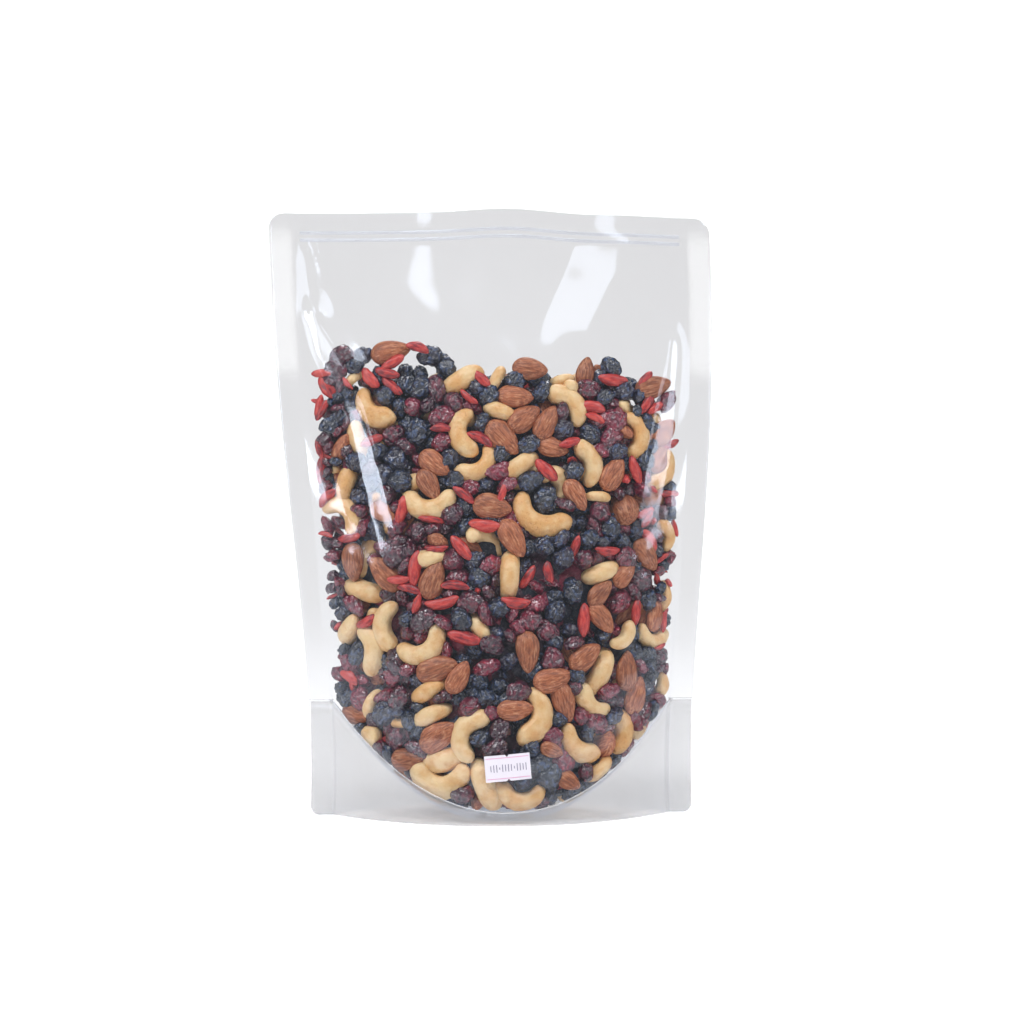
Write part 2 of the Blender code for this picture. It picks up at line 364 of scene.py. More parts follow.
def make_panels(dips):
    """The two panels as one piece, joined along the sides and the top. dips are each panel's hollows."""
    x, z = panel_grid()
    rows, columns = x.shape
    front = panel_point(x, z, -1, dip=dips[0]).reshape(-1, 3)
    back = panel_point(x, z, 1, dip=dips[1]).reshape(-1, 3)
    faces = grid_faces(rows, columns) + grid_faces(rows, columns, start=len(front), flip=True)
    half = len(front)
    for r in range(rows - 1):
        for c, left in ((0, True), (columns - 1, False)):
            a, b = r * columns + c, (r + 1) * columns + c
            face = (a, b, half + b, half + a)
            faces.append(face if left else face[::-1])
    top = (rows - 1) * columns
    for c in range(columns - 1):
        faces.append((top + c, top + c + 1, half + top + c + 1, half + top + c))
    panels = sheet_object("film_panels", np.concatenate([front, back]), faces, film)
    # Painted sheen: the side seals get their whiter haze only in the band beside the header.
    side = ease((np.abs(x - middle_x(z)) - seal_line(z)) / SEAL_EDGE + 0.5)
    height = ease((z - SEAL_SHEEN_FROM) / SEAL_SHEEN_FADE) * ease((SEAL_SHEEN_TO - z) / SEAL_SHEEN_FADE)
    seal_milk_and_sheen = panels.data.attributes.new("seal_milk_and_sheen", "FLOAT", "POINT")
    seal_milk_and_sheen.data.foreach_set("value", np.tile((side * height).ravel(), 2).astype(np.float32))
    return panels


# Gusset: the folded bottom sheet. Its edges are welded flat to the panels below a U-shaped line, which makes
# the two skirts double, and between the welds it hangs as a cradle under the food and lies on the floor in
# the middle.
WELD_MIDDLE = 0.0063
WELD_END = 0.054
WELD_POWER = 2.1
GUSSET_SAG = 0.11
GUSSET_INSIDE = 0.00035
GUSSET_FOOT = 0.0002
CRADLE_LEAST = 0.0003
SKIRT_TINT = "#FFFFFF"
SKIRT_HAZE = 0.34
SKIRT_HAZE_COLOUR = "#D9D8D6"
GUSSET_REACH = 0.995
GUSSET_STATIONS = 120
LEG_ROWS = 14
LEG_SPACING = 1.8
CRADLE_ROWS = 36


def weld_height(x):
    """Height of the U-shaped weld line: low in the middle, and highest at the side seals."""
    share = np.minimum(np.abs(x - middle_x(0.0)) / seal_line(0.0), 1.0)
    return WELD_MIDDLE + (WELD_END - WELD_MIDDLE) * share**WELD_POWER


def gusset_height(x, y):
    """Height of the cradle's film above the floor."""
    weld = weld_height(x)
    half = np.maximum(bulge(x, weld) - SEAL_THICKNESS, 1e-4)
    share = np.clip(np.abs(y) / half, 0, 1)
    return np.maximum(weld - GUSSET_SAG * 2 * half * (1 - share**2), CRADLE_LEAST)


def make_gusset():
    """The gusset: up the front skirt to its weld, over the cradle, and down the back skirt."""
    middle, line = middle_x(0.0), seal_line(0.0)
    inside = middle + line * GUSSET_REACH * np.sin(np.linspace(-0.5, 0.5, GUSSET_STATIONS) * math.pi)
    edge = middle + np.linspace(line, line + SIDE_SEAL - GUSSET_INSIDE, SEAL_COLUMNS)
    x = np.concatenate([2 * middle - edge[::-1], inside, edge])
    weld = weld_height(x)
    past = np.maximum(np.abs(x - middle) - line, 0.0)
    rows = []
    for share in np.linspace(0, 1, LEG_ROWS) ** LEG_SPACING:
        z = GUSSET_FOOT + (weld - GUSSET_FOOT) * share
        round_x = x - np.sign(x - middle) * past * corner_loss(z) / SIDE_SEAL
        rows.append(np.stack([round_x, -(bulge(x, z) - GUSSET_INSIDE), z], -1))
    half = bulge(x, weld) - GUSSET_INSIDE
    for share in np.linspace(-1, 1, CRADLE_ROWS)[1:-1]:
        rows.append(np.stack([x, share * half, gusset_height(x, share * half)], -1))
    for row in rows[LEG_ROWS - 1 :: -1]:
        rows.append(row * np.array([1, -1, 1]))
    points = np.stack(rows)
    gusset = sheet_object("film_gusset", points.reshape(-1, 3), grid_faces(len(rows), len(x)), inner_film)
    skirt_film = film_material(
        "skirt_film", SKIRT_TINT, SKIRT_HAZE, SKIRT_HAZE_COLOUR, INNER_GLOSS_SHARE, FILM_GLOSS_ROUGHNESS
    )
    gusset.data.materials.append(skirt_film)
    strip = np.repeat(np.arange(len(rows) - 1), len(x) - 1)
    leg = (strip < LEG_ROWS - 1) | (strip >= len(rows) - LEG_ROWS)
    gusset.data.polygons.foreach_set("material_index", leg.astype(np.int32))
    return gusset


make_gusset()


# Welds: where two sheets are fused, the melted edge of the weld stands up as a fine white bead. It follows
# the gusset's U on both panels and crosses each side seal where the gusset's fold ends.
WELD_BEAD_RADIUS = 0.00026
WELD_BEAD_SIDES = 6
WELD_STATIONS = 140
WELD_LIFT = 0.0001
WELD_DOT_RADIUS = 0.0011
WELD_DOT_REACH = 0.6
WELD_DOT_STATIONS = 5
WELD_CROSS_FROM = 0.985
WELD_CROSS_TO = 0.96
WELD_CROSS_STATIONS = 12
WELD_CROSS_SHARE = 0.55
WELD_CROSS_LIFT = 0.0008
WELD_TINT = "#F2F2F2"
WELD_HAZE = 0.32
WELD_GLOSS_ROUGHNESS = 0.18


def bead_tree():
    """Sweeps a round bead along each run of edges, as thick as the points' own attribute says."""
    tree = bpy.data.node_groups.new("bead", "GeometryNodeTree")
    for label, kind in (("Paths", "Geometry"), ("Sides", "Int"), ("Plastic", "Material")):
        tree.interface.new_socket(label, in_out="INPUT", socket_type="NodeSocket" + kind)
    tree.interface.new_socket("Beads", in_out="OUTPUT", socket_type="NodeSocketGeometry")
    given = add_node(tree, "NodeGroupInput")
    thickness = add_node(tree, "GeometryNodeInputNamedAttribute", Name="bead_radius")
    line = add_node(tree, "GeometryNodeMeshToCurve", Mesh=given.outputs["Paths"])
    ring = add_node(tree, "GeometryNodeCurvePrimitiveCircle", Resolution=given.outputs["Sides"], Radius=1.0)
    swept = add_node(
        tree, "GeometryNodeCurveToMesh", Curve=line.outputs[0], Profile_Curve=ring.outputs[0],
        Scale=thickness.outputs[0], Fill_Caps=True,
    )
    real = add_node(tree, "GeometryNodeRealizeInstances", Geometry=swept.outputs[0])
    coated = add_node(
        tree, "GeometryNodeSetMaterial", Geometry=real.outputs[0], Material=given.outputs["Plastic"]
    )
    add_node(tree, "NodeGroupOutput", Beads=coated.outputs[0])
    return tree


BEAD_TREE = bead_tree()


def beads(name, runs, sides, material):
    """One mesh of closed round beads. Each run is a path's points and the bead's radius."""
    points, edges, radii = [], [], []
    for path, radius in runs:
        edges += [(len(points) + i, len(points) + i + 1) for i in range(len(path) - 1)]
        points += [tuple(point) for point in path]
        radii += [radius] * len(path)
    mesh = bpy.data.meshes.new(name + "_path")
    mesh.from_pydata(points, edges, [])
    mesh.attributes.new("bead_radius", "FLOAT", "POINT").data.foreach_set("value", radii)
    obj = bpy.data.objects.new(name, mesh)
    bpy.context.scene.collection.objects.link(obj)
    sweep = obj.modifiers.new("bead", "NODES")
    sweep.node_group = BEAD_TREE
    given = {"Sides": sides, "Plastic": material}
    for socket in BEAD_TREE.interface.items_tree:
        if socket.name in given:
            sweep[socket.identifier] = given[socket.name]
    swept = bpy.data.meshes.new_from_object(obj.evaluated_get(bpy.context.evaluated_depsgraph_get()))
    obj.modifiers.clear()
    obj.data = swept
    swept.name = name
    swept.shade_smooth()
    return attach(obj, "root")


def make_welds():
    """The U on each panel and, at both of its ends, a dot and a fine line across the side seal."""
    reach = seal_line(0.0) * GUSSET_REACH
    x = middle_x(0.0) + reach * np.sin(np.linspace(-0.5, 0.5, WELD_STATIONS) * math.pi)
    line = seal_line(WELD_END)
    runs = []
    for side in (-1, 1):
        runs.append((panel_point(x, weld_height(x), side, off=WELD_LIFT), WELD_BEAD_RADIUS))
        for end in (-1, 1):
            last = line + SIDE_SEAL * WELD_CROSS_TO
            across = middle_x(WELD_END) + end * np.linspace(line * WELD_CROSS_FROM, last, WELD_CROSS_STATIONS)
            level = np.full_like(across, WELD_END + WELD_CROSS_LIFT)
            runs.append((panel_point(across, level, side), WELD_BEAD_RADIUS * WELD_CROSS_SHARE))
            dot_run = np.linspace(-WELD_DOT_REACH, WELD_DOT_REACH, WELD_DOT_STATIONS)
            dot = middle_x(WELD_END) + end * (line + WELD_DOT_RADIUS * dot_run)
            level = np.full_like(dot, WELD_END)
            runs.append((panel_point(dot, level, side, off=WELD_LIFT), WELD_DOT_RADIUS * WELD_CROSS_SHARE))
    material = film_material(
        "weld_edge", WELD_TINT, WELD_HAZE, WELD_TINT, FILM_GLOSS_SHARE, WELD_GLOSS_ROUGHNESS
    )
    return beads("weld_beads", runs, WELD_BEAD_SIDES, material)


make_welds()


# Zip: two low ribs of milky plastic between the panels, just under the top seal, for pressing shut by hand.
ZIP_RIB_DEPTHS = (0.0092, 0.0126)
ZIP_RIB_RADIUS = 0.0008
ZIP_RIB_SIDES = 10
ZIP_STATIONS = 90
ZIP_END_GAP = 0.004
ZIP_GLOSS_SHARE = 0.03
ZIP_GLOSS_ROUGHNESS = 0.2
ZIP_HAZE = 0.06
ZIP_TINT = "#F6F7FA"


def make_zip():
    """Both ribs, which follow the top's slack."""
    runs = []
    for depth in ZIP_RIB_DEPTHS:
        z = POUCH_HEIGHT - depth
        reach = seal_line(z) - ZIP_END_GAP
        x = middle_x(z) + np.linspace(-reach, reach, ZIP_STATIONS)
        lean, lift = slack(x, np.full_like(x, z))
        runs.append((np.stack([x, lean, z + lift], -1), ZIP_RIB_RADIUS))
    material = film_material(
        "zip_plastic", ZIP_TINT, ZIP_HAZE, FILM_HAZE_COLOUR, ZIP_GLOSS_SHARE, ZIP_GLOSS_ROUGHNESS
    )
    return beads("zip", runs, ZIP_RIB_SIDES, material)


make_zip()


# Date label: a small price-gun sticker, white paper with a V cut in its top and bottom edges. Its print is
# left as two thin pink rules and a row of plain grey strokes. It sits turned a few degrees, low on the front
# panel.
LABEL_WIDTH = 0.021
LABEL_HEIGHT = 0.012
LABEL_THICKNESS = 0.0003
LABEL_GAP = 0.00045
LABEL_NOTCH_HALF_WIDTH = 0.0009
LABEL_NOTCH_DEPTH = 0.0010
LABEL_NOTCH_POWER = 8
LABEL_COLUMNS = 10
LABEL_ROWS = 9
LABEL_CENTRE = (0.0052, 0.0272)
LABEL_TILT = math.radians(5.0)
PRINT_LIFT = 0.00006
PRINT_STEP = 0.0005
RULE_HALF_WIDTH = 0.00016
RULE_HALF_LENGTH = LABEL_WIDTH * 0.47
RULE_AT = 0.0047
STROKE_HALF_WIDTH = 0.00019
STROKE_HEIGHTS = (0.8, 1.0, 1.0, 0.3, 1.0, 0.9, 1.0, 0.9, 0.35, 1.0, 1.0, 0.85, 1.0)
STROKE_HEIGHT = 0.0034
STROKES_FROM = -0.0078
STROKE_PITCH = 0.00135
PAPER_COLOUR = "#D3CFDA"
PAPER_ROUGHNESS = 0.55
INK_ROUGHNESS = 0.6
RULE_COLOUR = "#CF93B8"
STROKE_COLOUR = "#75728A"


def on_label(across, up, off):
    """Points on the label, from its own width and height axes; off is how far they stand off the film."""
    across, up = np.asarray(across, float), np.asarray(up, float)
    x = LABEL_CENTRE[0] + across * math.cos(LABEL_TILT) - up * math.sin(LABEL_TILT)
    z = LABEL_CENTRE[1] + across * math.sin(LABEL_TILT) + up * math.cos(LABEL_TILT)
    return np.stack([x, -(bulge(x, z) + off), z], -1)


def label_columns():
    """Places across the label, closest at the V cuts in its middle."""
    half = LABEL_WIDTH / 2
    right = np.linspace(LABEL_NOTCH_HALF_WIDTH, half, LABEL_COLUMNS)
    return np.concatenate([-right[::-1], [0.0], right])


def paper_material(name, colour, roughness):
    """Uncoated paper: fine fibres show as a slight mottle and a slight roughness."""
    material, tree, output = new_material(name)
    place = add_node(tree, "ShaderNodeTexCoord")
    fibre = add_node(tree, "ShaderNodeTexNoise", Vector=place.outputs["Object"], Scale=2600.0, Detail=4.0)
    shade = add_node(tree, "ShaderNodeMapRange", Value=fibre.outputs["Fac"], i1=0.3, i2=0.7, i3=0.94, i4=1.0)
    paint = add_node(
        tree, "ShaderNodeVectorMath", {"operation": "SCALE"}, i0=linear(colour)[:3], Scale=shade.outputs[0]
    )
    relief = add_node(tree, "ShaderNodeBump", Strength=0.25, Distance=0.00005, Height=fibre.outputs["Fac"])
    paper = add_node(
        tree, "ShaderNodeBsdfPrincipled",
        Base_Color=paint.outputs[0], Roughness=roughness, Normal=relief.outputs[0],
    )
    tree.links.new(paper.outputs[0], output.inputs["Surface"])
    return material


def make_label():
    """The paper as a closed sheet: its face, its back and its cut edges."""
    levels = np.linspace(-1, 1, LABEL_ROWS)
    layers = []
    for off in (LABEL_GAP + LABEL_THICKNESS, LABEL_GAP):
        rows = []
        for level in levels:
            up = np.full(len(label_columns()), level * LABEL_HEIGHT / 2)
            middle = len(up) // 2
            up[middle] -= np.sign(level) * LABEL_NOTCH_DEPTH * abs(level) ** LABEL_NOTCH_POWER
            rows.append(on_label(label_columns(), up, off))
        layers.append(np.stack(rows))
    rows, columns = layers[0].shape[:2]
    count = rows * columns
    faces = grid_faces(rows, columns) + grid_faces(rows, columns, start=count, flip=True)
    for r in range(rows - 1):
        for c, left in ((0, True), (columns - 1, False)):
            a, b = r * columns + c, (r + 1) * columns + c
            face = (a, b, count + b, count + a)
            faces.append(face if left else face[::-1])
    for c in range(columns - 1):
        for r, low in ((0, True), (rows - 1, False)):
            a, b = r * columns + c, r * columns + c + 1
            face = (a, count + a, count + b, b)
            faces.append(face if low else face[::-1])
    points = np.concatenate([layer.reshape(-1, 3) for layer in layers])
    paper = paper_material("label_paper", PAPER_COLOUR, PAPER_ROUGHNESS)
    label = sheet_object("date_label_paper", points, faces, paper)
    label.data.set_sharp_from_angle(angle=math.radians(40))
    return label


def joined(parts):
    """Several (points, faces) as one."""
    points, faces, start = [], [], 0
    for part_points, part_faces in parts:
        points.append(part_points)
        faces += [tuple(start + i for i in face) for face in part_faces]
        start += len(part_points)
    return np.concatenate(points), faces


def printed(name, boxes, colour):
    """Ink: thin raised strips on the label, each (across, up, half width, half height)."""
    parts, off = [], LABEL_GAP + LABEL_THICKNESS + PRINT_LIFT
    for across, up, half_width, half_height in boxes:
        steps = max(2, int(half_width / PRINT_STEP))
        columns = across + half_width * np.linspace(-1, 1, steps)
        rows = [on_label(columns, np.full(steps, up + k * half_height), off) for k in (-1, 1)]
        parts.append((np.concatenate(rows), grid_faces(2, steps)))
    points, faces = joined(parts)
    return sheet_object(name, points, faces, paper_material(name, colour, INK_ROUGHNESS))


label = make_label()
rule_boxes = [(0.0, k * RULE_AT, RULE_HALF_LENGTH, RULE_HALF_WIDTH) for k in (-1, 1)]
rules = printed("label_rules", rule_boxes, RULE_COLOUR)
strokes = [
    (STROKES_FROM + i * STROKE_PITCH, 0.0, STROKE_HALF_WIDTH, STROKE_HEIGHT / 2 * height)
    for i, height in enumerate(STROKE_HEIGHTS)
]
marks = printed("label_marks", strokes, STROKE_COLOUR)
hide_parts("date_label")


# Packing: where every nut and fruit lies. Those that show through the front are set where the photo has
# them, and the rest fill the space behind the film, at the back and over the top. Each piece is a few hard
# balls on a stiff frame. They are pushed apart, and off the film, until they only touch.
SEED = 11
FILL_COUNT = 1080
EDGE_COUNT = 130
RELAX_STEPS = 90
NEIGHBOUR_STEPS = 6
NEIGHBOUR_MARGIN = 0.0035
TOUCH_SHARE = 0.93
SHELL_DEPTH = 0.0125
FILM_CLEARANCE = 0.0012
FOOD_FLOOR = 0.0050
HEAP_HEIGHT = 0.2055
HEAP_HUMPS = ((-0.052, 0.0125, 0.026), (0.011, 0.0065, 0.011), (0.050, 0.0075, 0.015))
HEAP_FALL = (0.070, 0.016, 0.012)
PIN_PULL = 0.14
SETTLE_STEPS = 14
OUT_MOST = 0.0009
SHIFT_GAIN = 1.6
SHIFT_MOST = 0.004
TWIST_GAIN = 1.4
TWIST_MOST = 0.4
BALL_INERTIA = 0.3
HEAP_REST = 0.6
SETTLE_GAIN = 0.6
PAIR_BLOCK = 400
SIGHT_STEPS = 25

# Where the fill and the fruit beside the seals are drawn, how many at a time, and how near the film.
FILL_X = (-0.095, 0.1)
FILL_Y = (-0.046, 0.046)
FILL_Z = (0.003, 0.225)
FILL_DRAWS = 40000
FILL_LEAST_DEPTH = 0.0035
FILL_OFF_FILM = 0.003
FRONT_FROM = -0.3
PATCH_SIZE = (0.028, 0.05, 0.028)
PATCH_SHIFT = 3.7
PATCH_STRENGTH = 2.2
SIZE_SPREAD = 0.09
SIZE_RANGE = (0.78, 1.22)
EDGE_DRAWS = 8000
EDGE_HEIGHTS = (0.062, 0.205)
EDGE_REACH = (0.72, 0.97)
EDGE_HALF_DEPTHS = (0.0024, 0.0085)
EDGE_INSIDE = 0.0028
EDGE_UNDER_HEAP = 0.004
EDGE_OVER_WELD = 0.006
EDGE_SIZES = (0.60, 0.80)
EDGE_KINDS = ("raisin", "cranberry", "goji")

# The balls of each kind in millimetres: x along the piece, y across it, z through it, and the ball's radius.
# A cashew curls about its own +Y, and an almond's tip is at +X.
KIND_BALLS = {
    "cashew": (
        (-7.4, 2.6, 0, 4.1), (-4.6, -1.4, 0, 4.5), (0, -3.1, 0, 4.7), (4.6, -1.4, 0, 4.3), (7.2, 2.4, 0, 3.7),
    ),
    "almond": ((-5.2, 0, 0, 3.6), (-0.8, 2.0, 0, 3.6), (-0.8, -2.0, 0, 3.6), (5.2, 0, 0, 3.0)),
    "raisin": ((-1.7, 0, 0, 3.7), (1.7, 0, 0, 3.6)),
    "cranberry": ((-2.2, 0.3, 0, 3.4), (2.1, 0.5, 0, 3.2), (0, -1.4, 0, 3.1)),
    "goji": ((-3.9, 0, 0, 1.7), (0, 0, 0, 2.1), (3.9, 0, 0, 1.6)),
}
KINDS = tuple(KIND_BALLS)

# How common each kind is: by the front film, elsewhere in the fill, and beside the seals.
FRONT_SHARES = (0.03, 0.03, 0.48, 0.43, 0.03)
OTHER_SHARES = (0.13, 0.13, 0.32, 0.28, 0.14)
EDGE_SHARES = (0.35, 0.45, 0.20)

# What the photo shows, each as (pixel x, pixel y, turn in degrees, size). A cashew seen face on is turned to
# the side that it curls towards, and every other piece to where its length points, anticlockwise from the
# right.
CASHEWS_FACE_ON = (
    (375, 407, 48, 1.00), (467, 431, 8, 1.00), (477, 464, 128, 0.95), (566, 407, 222, 1.00),
    (585, 464, 195, 1.05), (430, 503, 90, 1.05), (635, 434, 186, 1.00), (672, 469, 150, 0.92),
    (336, 510, 235, 1.00), (540, 515, 62, 1.26), (389, 626, 0, 1.05), (423, 647, 116, 1.08),
    (368, 650, 192, 1.05), (623, 635, 128, 0.72), (651, 635, 82, 0.85), (534, 716, 166, 1.16),
    (593, 701, 55, 0.90), (580, 740, 56, 1.12), (440, 782, 88, 1.20), (521, 792, 82, 1.02),
)
CASHEWS_EDGE_ON = (
    (458, 387, 32, 1.00), (496, 383, 58, 0.66), (501, 413, -15, 0.76), (518, 467, 36, 0.86),
    (342, 488, 80, 0.90), (353, 380, 40, 0.52), (597, 497, 0, 0.55), (509, 577, 88, 1.05),
    (602, 571, 25, 0.90), (369, 591, -12, 1.05), (482, 631, -55, 0.86), (597, 671, 52, 1.12),
    (431, 692, 28, 0.90), (430, 714, 25, 0.93), (447, 758, 18, 1.08), (485, 783, -62, 1.16),
    (599, 768, 30, 0.72), (665, 597, 80, 0.70), (374, 704, 60, 0.66), (404, 722, 0, 0.52),
    (660, 683, 80, 0.60), (563, 382, 20, 0.55),
)
CASHEWS_BEHIND = (
    (432, 407, 5, 0.90), (555, 488, 188, 0.92), (666, 536, 200, 0.72), (597, 733, 268, 0.85),
    (552, 731, 240, 0.62),
)
ALMONDS_SHOWN = (
    (391, 352, 12, 1.05), (530, 369, -5, 0.90), (515, 396, -4, 0.94), (524, 418, 38, 0.95),
    (547, 423, 62, 0.95), (502, 438, -48, 1.05), (552, 447, -15, 0.80), (434, 464, -38, 0.88),
    (430, 485, -60, 0.88), (492, 507, -8, 1.00), (576, 495, -58, 0.86), (613, 473, 55, 1.00),
    (586, 373, 82, 0.85), (663, 386, 15, 0.95), (672, 432, 40, 0.90), (662, 458, 65, 0.80),
    (659, 495, 20, 0.90), (384, 512, -30, 0.76), (513, 538, -62, 1.00), (353, 562, -85, 0.95),
    (432, 577, 72, 1.05), (646, 555, -45, 0.95), (600, 593, 40, 0.82), (624, 574, 35, 0.76),
    (602, 618, -45, 0.86), (528, 652, -88, 1.02), (435, 670, 15, 1.10), (459, 678, 60, 0.86),
    (555, 681, 14, 1.00), (585, 657, 32, 1.00), (562, 701, -72, 1.00), (627, 671, 85, 0.95),
    (636, 696, 58, 1.00), (515, 710, 5, 0.92), (438, 736, 30, 1.10), (408, 758, 4, 0.90),
    (552, 750, -20, 0.62), (567, 780, -30, 0.72), (656, 615, 70, 0.82),
)
GOJI_SHOWN = (
    (393, 363, 30, 1.0), (387, 373, -15, 1.0), (369, 378, -50, 1.1), (392, 386, -40, 1.1),
    (418, 347, -20, 0.9), (480, 380, -45, 0.9), (441, 428, 0, 0.9), (480, 438, -25, 1.2),
    (570, 443, 20, 0.9), (546, 471, -45, 1.2), (464, 494, -40, 1.0), (502, 494, 70, 0.8),
    (401, 510, 78, 1.1), (372, 441, 20, 1.0), (593, 407, -10, 1.1), (596, 417, -20, 0.8),
    (614, 381, -5, 1.2), (645, 380, 50, 0.9), (647, 401, 60, 1.1), (656, 410, 30, 0.9), (678, 446, 20, 0.9),
    (635, 470, -70, 1.1), (680, 492, 0, 0.9), (315, 372, 0, 0.8), (320, 386, -50, 1.2), (311, 407, 75, 1.0),
    (321, 410, 60, 0.9), (315, 449, -70, 0.9), (315, 471, 85, 1.1), (326, 497, 40, 1.0), (647, 515, 20, 1.0),
    (468, 398, -40, 0.8), (485, 525, -5, 1.3), (461, 548, -50, 1.2), (436, 552, 0, 0.9), (414, 568, 85, 1.3),
    (399, 580, 0, 1.0), (410, 588, -15, 1.0), (455, 585, -5, 1.1), (417, 604, 70, 0.9), (441, 603, 10, 1.3),
    (515, 604, -5, 1.1), (366, 622, 25, 1.0), (465, 638, -15, 1.4), (349, 676, -20, 1.0),
    (548, 572, -80, 0.9), (608, 552, 0, 1.1), (584, 620, 85, 1.4), (636, 611, 80, 1.0), (349, 537, 10, 1.0),
    (651, 539, -45, 1.1), (647, 518, 50, 0.9),
)
CRANBERRIES_SHOWN = (
    (443, 413, 20, 1.05), (413, 407, 80, 0.95), (440, 440, 60, 1.00), (470, 602, 10, 1.05),
    (537, 606, 40, 1.00), (530, 620, 0, 1.00), (548, 630, -30, 0.95), (552, 659, 20, 1.10),
    (642, 581, 15, 1.10), (497, 731, 60, 1.05), (494, 747, 5, 1.05), (396, 558, 40, 1.00),
    (392, 676, -20, 1.00), (518, 692, 25, 1.05), (563, 761, -10, 1.05), (461, 792, 15, 1.00),
    (395, 738, -60, 1.15), (584, 722, -45, 0.95), (660, 656, 30, 1.10), (644, 712, 60, 1.05),
    (470, 707, 25, 1.00), (398, 700, 30, 1.00), (588, 391, 0, 1.10), (342, 359, 20, 1.00),
    (332, 368, -20, 1.05), (450, 512, 10, 1.00), (470, 490, 30, 0.95), (601, 512, 20, 1.00),
    (618, 425, 60, 1.00), (612, 436, 40, 1.00), (498, 470, 10, 1.05), (490, 645, 0, 0.95),
    (487, 668, 20, 0.95), (452, 560, 30, 0.95), (686, 401, 50, 0.90),
)
RAISINS_SHOWN = (
    (431, 356, 20, 1.05), (443, 362, -30, 1.05), (449, 371, -40, 1.00), (363, 356, 10, 0.85),
    (353, 365, 0, 0.95), (405, 374, 70, 1.00), (408, 386, 40, 1.05), (612, 369, -60, 1.10),
    (624, 392, 30, 1.05), (512, 380, -10, 1.00), (539, 380, 20, 1.05), (545, 393, 60, 1.00),
    (488, 393, 30, 1.00), (564, 428, 60, 1.00), (591, 434, 20, 1.15), (573, 471, 50, 1.00),
    (530, 444, 40, 1.10), (531, 482, 30, 1.05), (541, 499, 80, 1.20), (650, 462, 20, 1.05),
    (378, 455, 30, 1.10), (393, 462, -40, 1.10), (385, 472, 70, 1.10), (372, 480, 20, 1.05),
    (398, 478, 10, 1.05), (419, 431, 50, 1.15), (431, 440, -30, 1.05), (455, 478, 0, 0.95),
    (466, 505, 40, 1.00), (318, 425, 20, 1.00), (548, 780, 60, 1.15), (541, 765, 20, 1.05),
    (612, 757, 40, 1.00), (482, 740, 30, 1.05), (386, 715, 30, 1.15),
)


def solid_point(pixels, depth):
    """Points under the front film where the photo's pixels look, a depth in from it, and the sight lines."""
    focal = CAMERA_LENS / SENSOR * PHOTO_SIDE
    turn = np.array(camera.rotation_euler.to_matrix())
    eye = np.array(camera.location)
    pixels = np.asarray(pixels, float)
    across = (pixels[:, 0] - PHOTO_SIDE / 2) / focal
    up = (PHOTO_SIDE / 2 - pixels[:, 1]) / focal
    sight = np.stack([across, up, -np.ones_like(up)], -1) @ turn.T
    sight /= np.linalg.norm(sight, axis=1, keepdims=True)
    y = np.full(len(pixels), -0.03)
    for _ in range(SIGHT_STEPS):
        reach = (y - eye[1]) / sight[:, 1]
        point = eye + sight * reach[:, None]
        _, normal = film_gap(point[:, 0], -np.abs(point[:, 1]), point[:, 2])
        inner = bulge(point[:, 0], point[:, 2]) - FILM_CLEARANCE
        y = 0.5 * y + 0.5 * (-inner + depth / np.maximum(-normal[:, 1], 0.5))
        y = np.minimum(y, -0.001)
    return eye + sight * ((y - eye[1]) / sight[:, 1])[:, None], sight


def film_gap(x, y, z):
    """Distance from the film (negative inside), and the outward direction there."""
    step = 1e-4
    inner = bulge(x, z) - FILM_CLEARANCE
    slope_x = (bulge(x + step, z) - bulge(x - step, z)) / (2 * step)
    slope_z = (bulge(x, z + step) - bulge(x, z - step)) / (2 * step)
    steep = np.sqrt(1 + slope_x**2 + slope_z**2)
    normal = np.stack([-slope_x, np.where(y < 0, -1.0, 1.0), -slope_z], -1) / steep[:, None]
    return (np.abs(y) - inner) / steep, normal


def floor_gap(x, y, z):
    """Distance into the gusset's cradle (negative above it), and the downward direction there."""
    step = 2e-4
    level = np.maximum(gusset_height(x, y), FOOD_FLOOR)
    slope_x = (gusset_height(x + step, y) - gusset_height(x - step, y)) / (2 * step)
    slope_y = (gusset_height(x, y + step) - gusset_height(x, y - step)) / (2 * step)
    steep = np.sqrt(1 + slope_x**2 + slope_y**2)
    down = np.stack([slope_x, slope_y, -np.ones_like(x)], -1) / steep[:, None]
    return (level + FILM_CLEARANCE - z) / steep, down


def heap_top(x):
    """Height of the heap's uneven top."""
    top = np.full_like(x, HEAP_HEIGHT)
    for place, height, spread in HEAP_HUMPS:
        top = top + height * np.exp(-(((x - place) / spread) ** 2))
    start, drop, run = HEAP_FALL
    return top - drop * ease((x - start) / run)


def turn_matrix(length, face):
    """Rotations with the piece's X along length and its Z along face, made square."""
    z = face / np.linalg.norm(face, axis=1, keepdims=True)
    x = length - z * np.sum(length * z, axis=1, keepdims=True)
    x /= np.linalg.norm(x, axis=1, keepdims=True)
    return np.stack([x, np.cross(z, x), z], axis=2)


def shown(rows, kind, depth, pose):
    """Pieces of one kind where the photo has them. pose is flat, edge or face."""
    rows = np.array(rows, float)
    place, sight = solid_point(rows[:, :2], depth)
    right, above, _ = np.array(camera.rotation_euler.to_matrix()).T
    _, outward = film_gap(place[:, 0], -np.abs(place[:, 1]), place[:, 2])
    turn = np.radians(rows[:, 2])
    way = np.cos(turn)[:, None] * right + np.sin(turn)[:, None] * above
    if pose == "face":
        side = np.cos(turn - math.pi / 2)[:, None] * right + np.sin(turn - math.pi / 2)[:, None] * above
        spin = turn_matrix(side, outward)
    elif pose == "edge":
        length = way - outward * np.sum(way * outward, axis=1, keepdims=True)
        spin = turn_matrix(length, np.cross(length, -outward))
    else:
        spin = turn_matrix(way, outward)
    return {
        "kind": np.full(len(rows), KINDS.index(kind)), "place": place, "spin": spin, "size": rows[:, 3],
        "sight": sight, "pinned": np.ones(len(rows), bool),
    }


